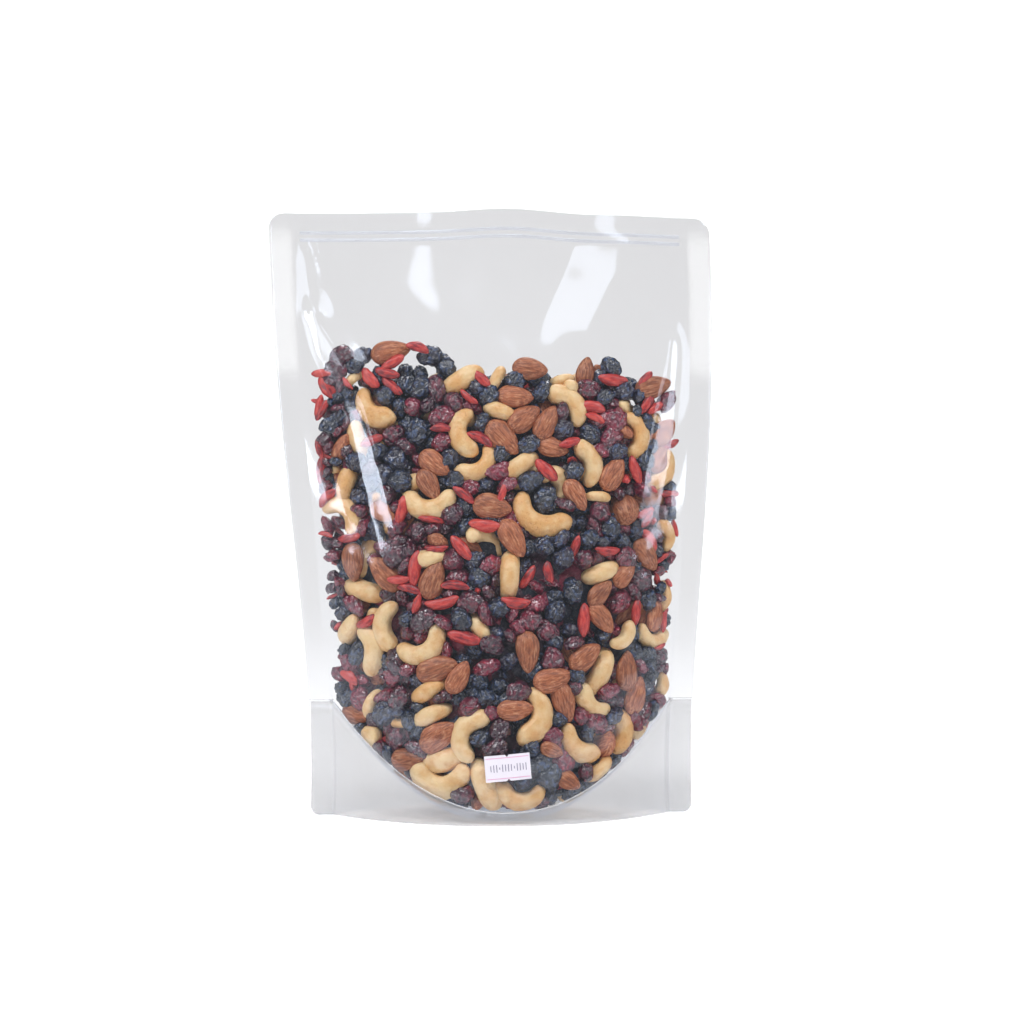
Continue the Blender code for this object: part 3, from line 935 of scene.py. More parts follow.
def random_spins(rng, count):
    """Even random rotations."""
    q = rng.normal(size=(count, 4))
    w, x, y, z = (q / np.linalg.norm(q, axis=1, keepdims=True)).T
    return np.stack([
        np.stack([1 - 2 * (y * y + z * z), 2 * (x * y - w * z), 2 * (x * z + w * y)], -1),
        np.stack([2 * (x * y + w * z), 1 - 2 * (x * x + z * z), 2 * (y * z - w * x)], -1),
        np.stack([2 * (x * z - w * y), 2 * (y * z + w * x), 1 - 2 * (x * x + y * y)], -1),
    ], axis=1)


def fill(rng, count):
    """Pieces at random places in the shell between the film and the core."""
    places = np.zeros((0, 3))
    while len(places) < count:
        x, y, z = (rng.uniform(*span, FILL_DRAWS) for span in (FILL_X, FILL_Y, FILL_Z))
        off_film = -film_gap(x, y, z)[0]
        depth = np.minimum.reduce([off_film, -floor_gap(x, y, z)[0], heap_top(x) - z])
        keep = (depth > FILL_LEAST_DEPTH) & (depth < SHELL_DEPTH) & (off_film > FILL_OFF_FILM)
        places = np.concatenate([places, np.stack([x, y, z], -1)[keep]])
    places = places[:count]
    front = places[:, 1] < FRONT_FROM * bulge(places[:, 0], places[:, 2])
    patch_places = places / PATCH_SIZE + (0.0, 0.0, PATCH_SHIFT)
    patch = np.array([noise.noise(Vector(place)) for place in patch_places])
    pick = rng.random(count)
    kind = np.zeros(count, int)
    for i in range(count):
        shares = np.array(FRONT_SHARES if front[i] else OTHER_SHARES)
        shares[KINDS.index("raisin")] *= math.exp(PATCH_STRENGTH * patch[i])
        shares[KINDS.index("cranberry")] *= math.exp(-PATCH_STRENGTH * patch[i])
        kind[i] = np.searchsorted(np.cumsum(shares / shares.sum()), pick[i])
    sight = np.tile(np.array([0.0, 1.0, 0.0]), (count, 1))
    return {
        "kind": np.minimum(kind, len(KINDS) - 1), "place": places, "spin": random_spins(rng, count),
        "size": rng.normal(1.0, SIZE_SPREAD, count).clip(*SIZE_RANGE), "sight": sight,
        "pinned": np.zeros(count, bool),
    }


def fill_edges(rng, count):
    """Small fruit in the narrow space along both side seals, where nothing larger fits."""
    z = rng.uniform(*EDGE_HEIGHTS, EDGE_DRAWS)
    side = rng.choice([-1.0, 1.0], EDGE_DRAWS)
    x = middle_x(z) + side * seal_line(z) * rng.uniform(*EDGE_REACH, EDGE_DRAWS)
    half = bulge(x, z) - FILM_CLEARANCE
    narrow = (half > EDGE_HALF_DEPTHS[0]) & (half < EDGE_HALF_DEPTHS[1])
    within = (z < heap_top(x) - EDGE_UNDER_HEAP) & (z > weld_height(x) + EDGE_OVER_WELD)
    keep = np.nonzero(narrow & within)[0][:count]
    y = rng.uniform(-1, 1, len(keep)) * np.maximum(half[keep] - EDGE_INSIDE, 0.0)
    return {
        "kind": rng.choice([KINDS.index(kind) for kind in EDGE_KINDS], len(keep), p=EDGE_SHARES),
        "place": np.stack([x[keep], y, z[keep]], -1),
        "spin": random_spins(rng, len(keep)), "size": rng.uniform(*EDGE_SIZES, len(keep)),
        "sight": np.tile(np.array([0.0, 1.0, 0.0]), (len(keep), 1)), "pinned": np.zeros(len(keep), bool),
    }


def near_pairs(balls, radii, owner, margin):
    """Pairs of balls of different pieces that are closer than touching plus a margin."""
    first, second = [], []
    for start in range(0, len(balls), PAIR_BLOCK):
        block = slice(start, start + PAIR_BLOCK)
        apart = np.linalg.norm(balls[block, None, :] - balls[None, :, :], axis=2)
        close = apart < radii[block, None] + radii[None, :] + margin
        close &= owner[block, None] < owner[None, :]
        i, j = np.nonzero(close)
        first.append(i + start)
        second.append(j)
    return np.concatenate(first), np.concatenate(second)


def summed(moves, owner, count):
    """The sum of the balls' moves for each piece."""
    return np.stack([np.bincount(owner, moves[:, axis], count) for axis in range(3)], -1)


def relax(pieces):
    """Pushes the pieces apart and inside the pouch. Shown ones keep to their sight lines and their turn."""
    template = [np.array(KIND_BALLS[k], float) * 0.001 for k in KINDS]
    owner = np.concatenate([np.full(len(template[k]), i) for i, k in enumerate(pieces["kind"])])
    arm = np.concatenate([template[k][:, :3] * s for k, s in zip(pieces["kind"], pieces["size"])])
    radii = np.concatenate([template[k][:, 3] * s for k, s in zip(pieces["kind"], pieces["size"])])
    place, spin, pinned = pieces["place"].copy(), pieces["spin"].copy(), pieces["pinned"]
    anchor, sight = place.copy(), pieces["sight"]
    count = len(place)
    share = 1.0 / np.bincount(owner, minlength=count)
    for step in range(RELAX_STEPS):
        lever = np.einsum("nij,nj->ni", spin[owner], arm)
        balls = place[owner] + lever
        if step % NEIGHBOUR_STEPS == 0:
            first, second = near_pairs(
                balls.astype(np.float32), radii.astype(np.float32), owner, NEIGHBOUR_MARGIN
            )
        between = balls[second] - balls[first]
        apart = np.linalg.norm(between, axis=1) + 1e-9
        overlap = np.maximum(0, (radii[first] + radii[second]) * TOUCH_SHARE - apart)
        push = between / apart[:, None] * overlap[:, None] * 0.5
        moves = np.zeros_like(balls)
        for axis in range(3):
            pushed = np.bincount(second, push[:, axis], len(balls))
            moves[:, axis] += pushed - np.bincount(first, push[:, axis], len(balls))
        touching = (overlap > 0).astype(float)
        hits = np.bincount(second, touching, len(balls)) + np.bincount(first, touching, len(balls))
        moves /= np.maximum(hits, 1)[:, None] ** 0.5
        wall, outward = film_gap(*balls.T)
        moves -= np.maximum(wall + radii, 0)[:, None] * outward
        floor, down = floor_gap(*balls.T)
        moves -= np.maximum(floor + radii, 0)[:, None] * down
        top = heap_top(balls[:, 0]) - balls[:, 2]
        moves[:, 2] -= np.maximum(radii * HEAP_REST - top, 0) * ~pinned[owner]
        depths = np.stack([-wall, -floor, top], -1)
        nearest = np.argmin(depths, axis=1)
        too_deep = np.maximum(depths.min(axis=1) - SHELL_DEPTH, 0)
        ways = np.stack([outward, down, np.tile([0.0, 0.0, 1.0], (len(balls), 1))], 1)
        moves += too_deep[:, None] * ways[np.arange(len(balls)), nearest]
        shift = summed(moves, owner, count) * share[:, None] * SHIFT_GAIN
        inertia = np.bincount(owner, np.sum(lever**2, axis=1) + (BALL_INERTIA * radii) ** 2, count)
        twist = summed(np.cross(lever, moves), owner, count) / inertia[:, None]
        twist = twist * ~pinned[:, None] * TWIST_GAIN
        angle = np.linalg.norm(twist, axis=1)
        axis_unit = twist / np.maximum(angle, 1e-9)[:, None]
        angle = np.minimum(angle, TWIST_MOST)
        cross = np.zeros((count, 3, 3))
        cross[:, 0, 1], cross[:, 0, 2], cross[:, 1, 2] = -axis_unit[:, 2], axis_unit[:, 1], -axis_unit[:, 0]
        cross -= cross.transpose(0, 2, 1)
        sine, cosine = np.sin(angle)[:, None, None], np.cos(angle)[:, None, None]
        spin = (np.eye(3) + sine * cross + (1 - cosine) * (cross @ cross)) @ spin
        place = place + np.clip(shift, -SHIFT_MOST, SHIFT_MOST)
        drift = place - anchor
        sideways = drift - sight * np.sum(drift * sight, axis=1, keepdims=True)
        place -= sideways * (PIN_PULL * pinned[:, None])
    for _ in range(SETTLE_STEPS):
        lever = np.einsum("nij,nj->ni", spin[owner], arm)
        balls = place[owner] + lever
        wall, outward = film_gap(*balls.T)
        floor, down = floor_gap(*balls.T)
        moves = -np.maximum(wall + radii, 0)[:, None] * outward - np.maximum(floor + radii, 0)[:, None] * down
        worst = np.zeros(count)
        np.maximum.at(worst, owner, np.linalg.norm(moves, axis=1))
        total = summed(moves, owner, count)
        length = np.maximum(np.linalg.norm(total, axis=1, keepdims=True), 1e-9)
        place = place + total / length * worst[:, None] * SETTLE_GAIN
    lever = np.einsum("nij,nj->ni", spin[owner], arm)
    balls = place[owner] + lever
    out = np.maximum(film_gap(*balls.T)[0], floor_gap(*balls.T)[0]) + radii
    worst = np.full(count, -1.0)
    np.maximum.at(worst, owner, out)
    kept = worst < OUT_MOST
    result = {key: value[kept] for key, value in {**pieces, "place": place, "spin": spin}.items()}
    return result, balls[kept[owner]], radii[kept[owner]]


# The pieces that show, with how deep their middles lie behind the film and how they are turned to it.
rng = np.random.default_rng(SEED)
groups = [
    shown(CASHEWS_FACE_ON, "cashew", 0.0046, "face"),
    shown(CASHEWS_EDGE_ON, "cashew", 0.0052, "edge"),
    shown(CASHEWS_BEHIND, "cashew", 0.0095, "face"),
    shown(ALMONDS_SHOWN, "almond", 0.0040, "flat"),
    shown(GOJI_SHOWN, "goji", 0.0022, "flat"),
    shown(CRANBERRIES_SHOWN, "cranberry", 0.0042, "flat"),
    shown(RAISINS_SHOWN, "raisin", 0.0045, "flat"),
    fill(rng, FILL_COUNT),
    fill_edges(rng, EDGE_COUNT),
]
pieces, balls, ball_radii = relax({key: np.concatenate([g[key] for g in groups]) for key in groups[0]})


# Cashews: curled kernels, round in section, thicker at one end. Cream with toasted patches, thinly oiled.
CASHEW_RADIUS = 0.0080
CASHEW_CURL = math.radians(66)
CASHEW_CENTRE = 0.0046
CASHEW_THICK = 0.0051
CASHEW_SECTION = 0.90
CASHEW_CURLS = (0.86, 1.14)
CASHEW_GIRTHS = (0.92, 1.10)
CASHEW_HEAVY_ENDS = (0.10, 0.26)
CASHEW_TIP = 1.36
CASHEW_TIP_SPACING = 1.25
CASHEW_BLUNTNESS = 7
CASHEW_TAPER = 0.36
CASHEW_FLATTENING = 0.14
CASHEW_CREASE = 0.0006
CASHEW_CREASE_WIDTH = 0.35
CASHEW_TWIST = 0.0012
CASHEW_STRETCH = 1.06
CASHEW_LUMPS = 0.07
CASHEW_LUMP_PITCH = 0.011
CASHEW_STATIONS = 22
CASHEW_SIDES = 16
CASHEW_PALE = "#F2D3A1"
CASHEW_TAN = "#E2AD6D"
CASHEW_ROAST = "#BC8145"
PRESSED_GAP = 0.0001


def tube_grid(stations, sides):
    """u along the piece from -1 to 1, closer at its ends, and the angle round it. The two tips come last."""
    u = np.sin(np.linspace(-0.5, 0.5, stations + 2)[1:-1] * math.pi)
    turn = np.linspace(0, 2 * math.pi, sides, endpoint=False)
    return np.append(np.repeat(u, sides), [-1.0, 1.0]), np.append(np.tile(turn, stations), [0.0, 0.0])


def tube_faces(stations, sides):
    """Faces of such a grid: quads along the body and a fan at each tip. The tips are the last two points."""
    faces = []
    for r in range(stations - 1):
        for c in range(sides):
            d = (c + 1) % sides
            faces.append((r * sides + c, r * sides + d, (r + 1) * sides + d, (r + 1) * sides + c))
    low, high = stations * sides, stations * sides + 1
    last = (stations - 1) * sides
    for c in range(sides):
        d = (c + 1) % sides
        faces.append((low, d, c))
        faces.append((high, last + c, last + d))
    return faces


def blob_grid(cuts):
    """Even directions over a sphere, from a cube cut into squares, and its quads."""
    steps = np.tan(np.linspace(-1, 1, cuts + 1) * math.pi / 4)
    found, points, faces = {}, [], []
    for axis in range(3):
        for side in (-1, 1):
            index = np.zeros((cuts + 1, cuts + 1), int)
            for i, a in enumerate(steps):
                for j, b in enumerate(steps):
                    p = np.zeros(3)
                    p[axis], p[(axis + 1) % 3], p[(axis + 2) % 3] = side, a, b
                    key = tuple(np.round(p, 6))
                    if key not in found:
                        found[key] = len(points)
                        points.append(p / np.linalg.norm(p))
                    index[i, j] = found[key]
            for i in range(cuts):
                for j in range(cuts):
                    face = (index[i, j], index[i + 1, j], index[i + 1, j + 1], index[i, j + 1])
                    faces.append(face if side > 0 else face[::-1])
    return np.array(points), faces


def waves(points, rng, count, pitch, number=7):
    """Smooth random relief of about -1 to 1 for each of count pieces. pitch is its wavelength, and points
    are either the same for all pieces or each piece's own."""
    total = np.zeros((count, points.shape[-2]))
    for _ in range(number):
        way = rng.normal(size=(count, 3))
        lengths = np.linalg.norm(way, axis=1, keepdims=True)
        way *= (2 * math.pi / pitch) / lengths * rng.uniform(0.7, 1.4, (count, 1))
        if points.ndim == 2:
            total += np.sin(np.einsum("vi,ni->nv", points, way))
        else:
            total += np.sin(np.einsum("nvi,ni->nv", points, way) + rng.uniform(0, 6.3, (count, 1)))
    return total / number**0.5 / 1.6


def pressed(points):
    """Points that would stand outside the film or the cradle, brought back to its inner face."""
    for gap in (film_gap, floor_gap):
        out, outward = gap(*points.T)
        points = points - np.maximum(out + PRESSED_GAP, 0)[:, None] * outward
    return points


def add_kind(kind, local, faces, material):
    """Joins one kind's pieces in one mesh, with each piece's own place in mm and three random numbers."""
    chosen = np.nonzero(pieces["kind"] == KINDS.index(kind))[0]
    scaled = local * pieces["size"][chosen][:, None, None]
    world = np.einsum("nij,nvj->nvi", pieces["spin"][chosen], scaled) + pieces["place"][chosen][:, None, :]
    world = pressed(world.reshape(-1, 3)).reshape(world.shape)
    count, each = local.shape[:2]
    corners = np.concatenate([np.array(f) for f in faces])
    sizes = np.array([len(f) for f in faces])
    mesh = bpy.data.meshes.new(kind)
    mesh.vertices.add(count * each)
    mesh.vertices.foreach_set("co", world.astype(np.float32).ravel())
    every = (corners[None, :] + (np.arange(count) * each)[:, None]).ravel()
    mesh.loops.add(len(every))
    mesh.loops.foreach_set("vertex_index", every.astype(np.int32))
    all_sizes = np.tile(sizes, count)
    mesh.polygons.add(len(all_sizes))
    mesh.polygons.foreach_set("loop_start", np.concatenate([[0], np.cumsum(all_sizes)[:-1]]).astype(np.int32))
    mesh.polygons.foreach_set("loop_total", all_sizes.astype(np.int32))
    mesh.update(calc_edges=True)
    own = mesh.attributes.new("own_place", "FLOAT_VECTOR", "POINT")
    own.data.foreach_set("vector", (scaled * 1000).astype(np.float32).ravel())
    chance = mesh.attributes.new("chance", "FLOAT_VECTOR", "POINT")
    drawn = np.repeat(rng.random((count, 3)), each, axis=0)
    chance.data.foreach_set("vector", drawn.astype(np.float32).ravel())
    mesh.materials.append(material)
    mesh.shade_smooth()
    obj = bpy.data.objects.new(kind, mesh)
    bpy.context.scene.collection.objects.link(obj)
    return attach(obj, "root")


def number_of(kind):
    """How many pieces of a kind there are."""
    return int(np.sum(pieces["kind"] == KINDS.index(kind)))


def cashew_arc(arm, angle, level):
    """Points on the cashew's curl, at an angle from its middle and an arm's length from its centre."""
    return np.stack([arm * np.sin(angle) * CASHEW_STRETCH, -arm * np.cos(angle) + CASHEW_CENTRE, level], -1)


def cashew_shapes():
    """Curled tubes that taper to both tips, flatter on the inside of the curl and creased along it."""
    count = number_of("cashew")
    u, turn = tube_grid(CASHEW_STATIONS, CASHEW_SIDES)
    curl = CASHEW_CURL * rng.uniform(*CASHEW_CURLS, (count, 1))
    heavy = rng.uniform(*CASHEW_HEAVY_ENDS, (count, 1)) * rng.choice([-1, 1], (count, 1))
    girth = rng.uniform(*CASHEW_GIRTHS, (count, 1))
    along = np.sign(u) * (1 - (1 - np.abs(u)) ** CASHEW_TIP_SPACING)
    angle = along[None, :] * (curl * CASHEW_TIP)
    profile = np.clip(1 - np.abs(u) ** CASHEW_BLUNTNESS, 0, 1) ** 0.50 * (1 - CASHEW_TAPER * u**2)
    radius = CASHEW_THICK * girth * profile[None, :] * (1 - heavy * u[None, :])
    inner = np.clip(-np.cos(turn), 0, 1)
    radial = radius * np.cos(turn)[None, :] * (1 - CASHEW_FLATTENING * inner[None, :])
    crease = np.exp(-(((turn - math.pi) / CASHEW_CREASE_WIDTH) ** 2))
    radial += CASHEW_CREASE * crease[None, :] * profile[None, :]
    through = radius * np.sin(turn)[None, :] * CASHEW_SECTION
    arm = CASHEW_RADIUS + radial
    twist = rng.uniform(-CASHEW_TWIST, CASHEW_TWIST, (count, 1))
    level = twist * u[None, :]
    local = cashew_arc(arm, angle, through + level)
    lumps = waves(local, rng, count, CASHEW_LUMP_PITCH)
    middle = cashew_arc(CASHEW_RADIUS, angle, level)
    return middle + (local - middle) * (1 + CASHEW_LUMPS * lumps[..., None])


def piece_inputs(tree):
    """The piece's own place in mm, shifted at random from piece to piece, and its three random numbers."""
    own = add_node(tree, "ShaderNodeAttribute", {"attribute_name": "own_place"})
    chance = add_node(tree, "ShaderNodeAttribute", {"attribute_name": "chance"})
    apart = add_node(tree, "ShaderNodeSeparateXYZ", Vector=chance.outputs["Vector"])
    far = add_node(
        tree, "ShaderNodeVectorMath", {"operation": "MULTIPLY_ADD"},
        i0=chance.outputs["Vector"], i1=(91.0, 67.0, 53.0), i2=own.outputs["Vector"],
    )
    return far.outputs["Vector"], apart.outputs


def mixed(tree, share, first, second):
    """One colour mixed into another. Colours are sockets or hex strings."""
    first = linear(first) if isinstance(first, str) else first
    second = linear(second) if isinstance(second, str) else second
    node = add_node(tree, "ShaderNodeMix", {"data_type": "RGBA"}, i0=share, i6=first, i7=second)
    return node.outputs[2]


def ramp(tree, value, low, high):
    """0 below low, 1 above high, and a smooth step between."""
    node = add_node(
        tree, "ShaderNodeMapRange", {"interpolation_type": "SMOOTHSTEP"}, Value=value, i1=low, i2=high
    )
    return node.outputs[0]


def multiply_add(tree, value, factor, extra):
    """value * factor + extra."""
    node = add_node(tree, "ShaderNodeMath", {"operation": "MULTIPLY_ADD"}, i0=value, i1=factor, i2=extra)
    return node.outputs[0]


def product(tree, first, second):
    """first * second."""
    return add_node(tree, "ShaderNodeMath", {"operation": "MULTIPLY"}, i0=first, i1=second).outputs[0]


def cashew_material():
    """Roasted kernel: smooth, faintly oiled, a little translucent, toasted in blotches and specks."""
    material, tree, output = new_material("cashew_skin")
    place, chance = piece_inputs(tree)
    blotch = add_node(tree, "ShaderNodeTexNoise", Vector=place, Scale=0.16, Detail=3.0)
    fine = add_node(tree, "ShaderNodeTexNoise", Vector=place, Scale=1.1, Detail=5.0, Roughness=0.6)
    soft = add_node(tree, "ShaderNodeTexNoise", Vector=place, Scale=0.55, Detail=1.5)
    toasted = multiply_add(tree, chance[0], 0.30, blotch.outputs["Fac"])
    base = mixed(tree, ramp(tree, toasted, 0.42, 0.88), CASHEW_PALE, CASHEW_TAN)
    speck = product(tree, ramp(tree, fine.outputs["Fac"], 0.52, 0.74), ramp(tree, toasted, 0.55, 0.95))
    colour = mixed(tree, speck, base, CASHEW_ROAST)
    relief = add_node(tree, "ShaderNodeBump", Strength=1.0, Distance=0.0005, Height=soft.outputs["Fac"])
    shader = add_node(
        tree, "ShaderNodeBsdfPrincipled", Base_Color=colour, Roughness=0.42, Subsurface_Weight=0.12,
        Subsurface_Radius=(0.003, 0.0018, 0.0009), Subsurface_Scale=1.0, Normal=relief.outputs[0],
    )
    tree.links.new(shader.outputs[0], output.inputs["Surface"])
    return material


add_kind("cashew", cashew_shapes(), tube_faces(CASHEW_STATIONS, CASHEW_SIDES), cashew_material())


# Almonds: flat teardrops in brown, dusty skins, finely furrowed from the round end to the tip.
ALMOND_LENGTH = 0.0196
ALMOND_WIDTH = 0.0114
ALMOND_THICK = 0.0076
ALMOND_LENGTHS = (0.95, 1.05)
ALMOND_WIDTHS = (0.92, 1.08)
ALMOND_THICKNESSES = (0.88, 1.12)
ALMOND_TAPERS = (0.22, 0.34)
ALMOND_BLUNTNESS = 2.15
ALMOND_ROUNDNESS = 0.58
ALMOND_BEND = 0.0006
ALMOND_FURROWS = 9
ALMOND_FURROW_DEPTH = 0.00030
ALMOND_STATIONS = 20
ALMOND_SIDES = 26
ALMOND_BROWN = "#AC6440"
ALMOND_DUST = "#C68A64"
# Painted shade in the furrows.
ALMOND_FURROW_SHADE = "#83472C"


def almond_shapes():
    """Flat teardrops, blunt at one end, with two sets of lengthwise furrows that cross a little."""
    count = number_of("almond")
    u, turn = tube_grid(ALMOND_STATIONS, ALMOND_SIDES)
    taper = rng.uniform(*ALMOND_TAPERS, (count, 1))
    body = np.clip(1 - np.abs(u) ** ALMOND_BLUNTNESS, 0, 1) ** ALMOND_ROUNDNESS * (1 - taper * u)
    wide = ALMOND_WIDTH / 2 * rng.uniform(*ALMOND_WIDTHS, (count, 1)) * body
    thick = ALMOND_THICK / 2 * rng.uniform(*ALMOND_THICKNESSES, (count, 1)) * body
    phase = rng.uniform(0, 6.3, (count, 1))
    sway = 0.35 * np.sin(2.2 * u + phase)
    furrow = np.abs(np.sin(ALMOND_FURROWS * turn / 2 + sway + phase)) ** 0.7
    second = np.abs(np.sin(ALMOND_FURROWS * 0.9 * turn / 2 + 2 * phase - sway))
    off = (furrow + 0.5 * second - 0.8) * ALMOND_FURROW_DEPTH * np.clip(1.15 - np.abs(u), 0, 1)
    x = ALMOND_LENGTH / 2 * u * rng.uniform(*ALMOND_LENGTHS, (count, 1))
    bend = rng.uniform(-ALMOND_BEND, ALMOND_BEND, (count, 1)) * u**2
    return np.stack([x, (wide + off) * np.cos(turn) + bend, (thick + off) * np.sin(turn)], -1)


def almond_material():
    """Raw skin: matt, brown and dusty, with painted shade in its furrows. Each almond has its own tone."""
    material, tree, output = new_material("almond_skin")
    place, chance = piece_inputs(tree)
    stretched = add_node(
        tree, "ShaderNodeVectorMath", {"operation": "MULTIPLY"}, i0=place, i1=(0.14, 1.0, 1.0)
    )
    grain = add_node(
        tree, "ShaderNodeTexNoise", Vector=stretched.outputs[0], Scale=1.25, Detail=2.5, Roughness=0.55,
        Distortion=0.3,
    )
    dusty = add_node(tree, "ShaderNodeTexNoise", Vector=place, Scale=0.35, Detail=2.0)
    # Painted shade: the colour darkens where the grain's relief sinks into furrows.
    base = mixed(tree, ramp(tree, grain.outputs["Fac"], 0.36, 0.56), ALMOND_FURROW_SHADE, ALMOND_BROWN)
    bright = multiply_add(tree, dusty.outputs["Fac"], 0.55, grain.outputs["Fac"])
    colour = mixed(tree, ramp(tree, bright, 0.78, 1.02), base, ALMOND_DUST)
    tone = add_node(tree, "ShaderNodeMapRange", Value=chance[1], i3=0.86, i4=1.16)
    toned = add_node(tree, "ShaderNodeVectorMath", {"operation": "SCALE"}, i0=colour, Scale=tone.outputs[0])
    relief = add_node(tree, "ShaderNodeBump", Strength=0.5, Distance=0.0003, Height=grain.outputs["Fac"])
    shader = add_node(
        tree, "ShaderNodeBsdfPrincipled",
        Base_Color=toned.outputs[0], Roughness=0.52, Normal=relief.outputs[0],
    )
    tree.links.new(shader.outputs[0], output.inputs["Surface"])
    return material


add_kind("almond", almond_shapes(), tube_faces(ALMOND_STATIONS, ALMOND_SIDES), almond_material())


# Raisins: shrunken blue-black fruit, folded into deep soft creases, with bloom and a painted sheen on their
# ridges.
RAISIN_AXES = (0.0057, 0.0047, 0.0040)
RAISIN_CUTS = 5
RAISIN_SIZES = (0.86, 1.14)
RAISIN_LUMPS = 0.16
RAISIN_LUMP_PITCH = 2.2
RAISIN_SWELLING = 1.08
RAISIN_CREASE = 0.30
RAISIN_CREASE_PITCH = 1.25
RAISIN_CREASE_WAYS = (0.6, 1.0, 1.0)
RAISIN_WRINKLE = 1.9
RAISIN_WRINKLE_DEPTH = 0.0015
RAISIN_BLACK = "#0E1A2E"
RAISIN_PLUM = "#1E1A32"
# Blue of the ridges: partly a waxy bloom and partly a painted sheen.
RAISIN_BLOOM_AND_SHEEN = "#465F8C"


def creased(points, rng, count, number, pitch):
    """1 on the folds and 0 deep in the creases between them: a net of sharp valleys."""
    valley = np.ones((count, points.shape[-2]))
    for _ in range(number):
        valley = np.minimum(valley, np.abs(waves(points, rng, count, pitch, 3)) * 1.9)
    return np.clip(valley, 0, 1) ** 0.65


def raisin_shapes():
    """Lumpy ovals with a net of creases."""
    count = number_of("raisin")
    ball, _ = blob_grid(RAISIN_CUTS)
    lumps = waves(ball, rng, count, RAISIN_LUMP_PITCH)
    folds = creased(ball * np.array(RAISIN_CREASE_WAYS), rng, count, 2, RAISIN_CREASE_PITCH)
    reach = (1 + RAISIN_LUMPS * lumps) * (RAISIN_SWELLING - RAISIN_CREASE * (1 - folds))
    axes = np.array(RAISIN_AXES) * rng.uniform(*RAISIN_SIZES, (count, 1, 3))
    return ball[None] * reach[..., None] * axes


def wrinkled(tree, place, size, depth):
    """Relief of a dried fruit's skin: soft folds between creases, and finer ones on them. size is in mm."""
    warp = add_node(tree, "ShaderNodeTexNoise", Vector=place, Scale=0.35 / size, Detail=2.0)
    bent = add_node(
        tree, "ShaderNodeVectorMath", {"operation": "MULTIPLY_ADD"},
        i0=warp.outputs["Color"], i1=(2 * size, 2 * size, 2 * size), i2=place,
    )
    folds = add_node(
        tree, "ShaderNodeTexVoronoi", {"feature": "SMOOTH_F1"}, Vector=bent.outputs[0], Scale=0.8 / size,
        Smoothness=0.25,
    )
    fine = add_node(
        tree, "ShaderNodeTexNoise", Vector=bent.outputs[0], Scale=1.0 / size, Detail=1.5, Roughness=0.45
    )
    height = multiply_add(tree, folds.outputs["Distance"], -0.9, fine.outputs["Fac"])
    relief = add_node(tree, "ShaderNodeBump", Strength=1.0, Distance=depth, Height=height)
    return relief.outputs[0], fine.outputs["Fac"], folds.outputs["Distance"]


def raisin_material():
    """Dried skin: nearly black, waxy blue on its ridges, partly a bloom and partly a painted sheen, with a
    sugary gloss.
    """
    material, tree, output = new_material("raisin_skin")
    place, chance = piece_inputs(tree)
    normal, fine, folds = wrinkled(tree, place, RAISIN_WRINKLE, RAISIN_WRINKLE_DEPTH)
    hue = mixed(tree, ramp(tree, chance[0], 0.55, 0.98), RAISIN_BLACK, RAISIN_PLUM)
    # Painted sheen: the tops of the folds turn waxy blue, partly a real bloom and partly a painted highlight.
    high = multiply_add(tree, folds, -0.55, fine)
    bloom_and_sheen = product(tree, ramp(tree, high, 0.20, 0.45), 0.6)
    colour = mixed(tree, bloom_and_sheen, hue, RAISIN_BLOOM_AND_SHEEN)
    shader = add_node(
        tree, "ShaderNodeBsdfPrincipled", Base_Color=colour, Roughness=0.40, Normal=normal, Coat_Weight=0.8,
        Coat_Roughness=0.13, Coat_Normal=normal,
    )
    tree.links.new(shader.outputs[0], output.inputs["Surface"])
    return material


add_kind("raisin", raisin_shapes(), blob_grid(RAISIN_CUTS)[1], raisin_material())


# Dried cranberries: flattened, folded dark red skins, some with a painted glow on their fold tops, glossy
# with syrup.
CRANBERRY_AXES = (0.0062, 0.0050, 0.0034)
CRANBERRY_CUTS = 5
CRANBERRY_SIZES = (0.85, 1.15)
CRANBERRY_LUMPS = 0.17
CRANBERRY_LUMP_PITCH = 2.1
CRANBERRY_SWELLING = 1.06
CRANBERRY_CREASE = 0.26
CRANBERRY_CREASE_PITCH = 1.7
CRANBERRY_WRINKLE = 2.2
CRANBERRY_WRINKLE_DEPTH = 0.0015
CRANBERRY_RED = "#821A38"
CRANBERRY_DARK = "#341028"
# Painted glow: the red of light shining through the skin, put on the tops of the folds.
CRANBERRY_PAINTED_GLOW = "#BC3650"


def cranberry_shapes():
    """Flat, lumpy ovals with creases, bent a little along their length."""
    count = number_of("cranberry")
    ball, _ = blob_grid(CRANBERRY_CUTS)
    lumps = waves(ball, rng, count, CRANBERRY_LUMP_PITCH)
    folds = creased(ball, rng, count, 2, CRANBERRY_CREASE_PITCH)
    reach = (1 + CRANBERRY_LUMPS * lumps) * (CRANBERRY_SWELLING - CRANBERRY_CREASE * (1 - folds))
    axes = np.array(CRANBERRY_AXES) * rng.uniform(*CRANBERRY_SIZES, (count, 1, 3))
    local = ball[None] * reach[..., None] * axes
    local[..., 2] += rng.uniform(-0.10, 0.10, (count, 1)) * local[..., 0] ** 2 / CRANBERRY_AXES[0] * 2.5
    return local


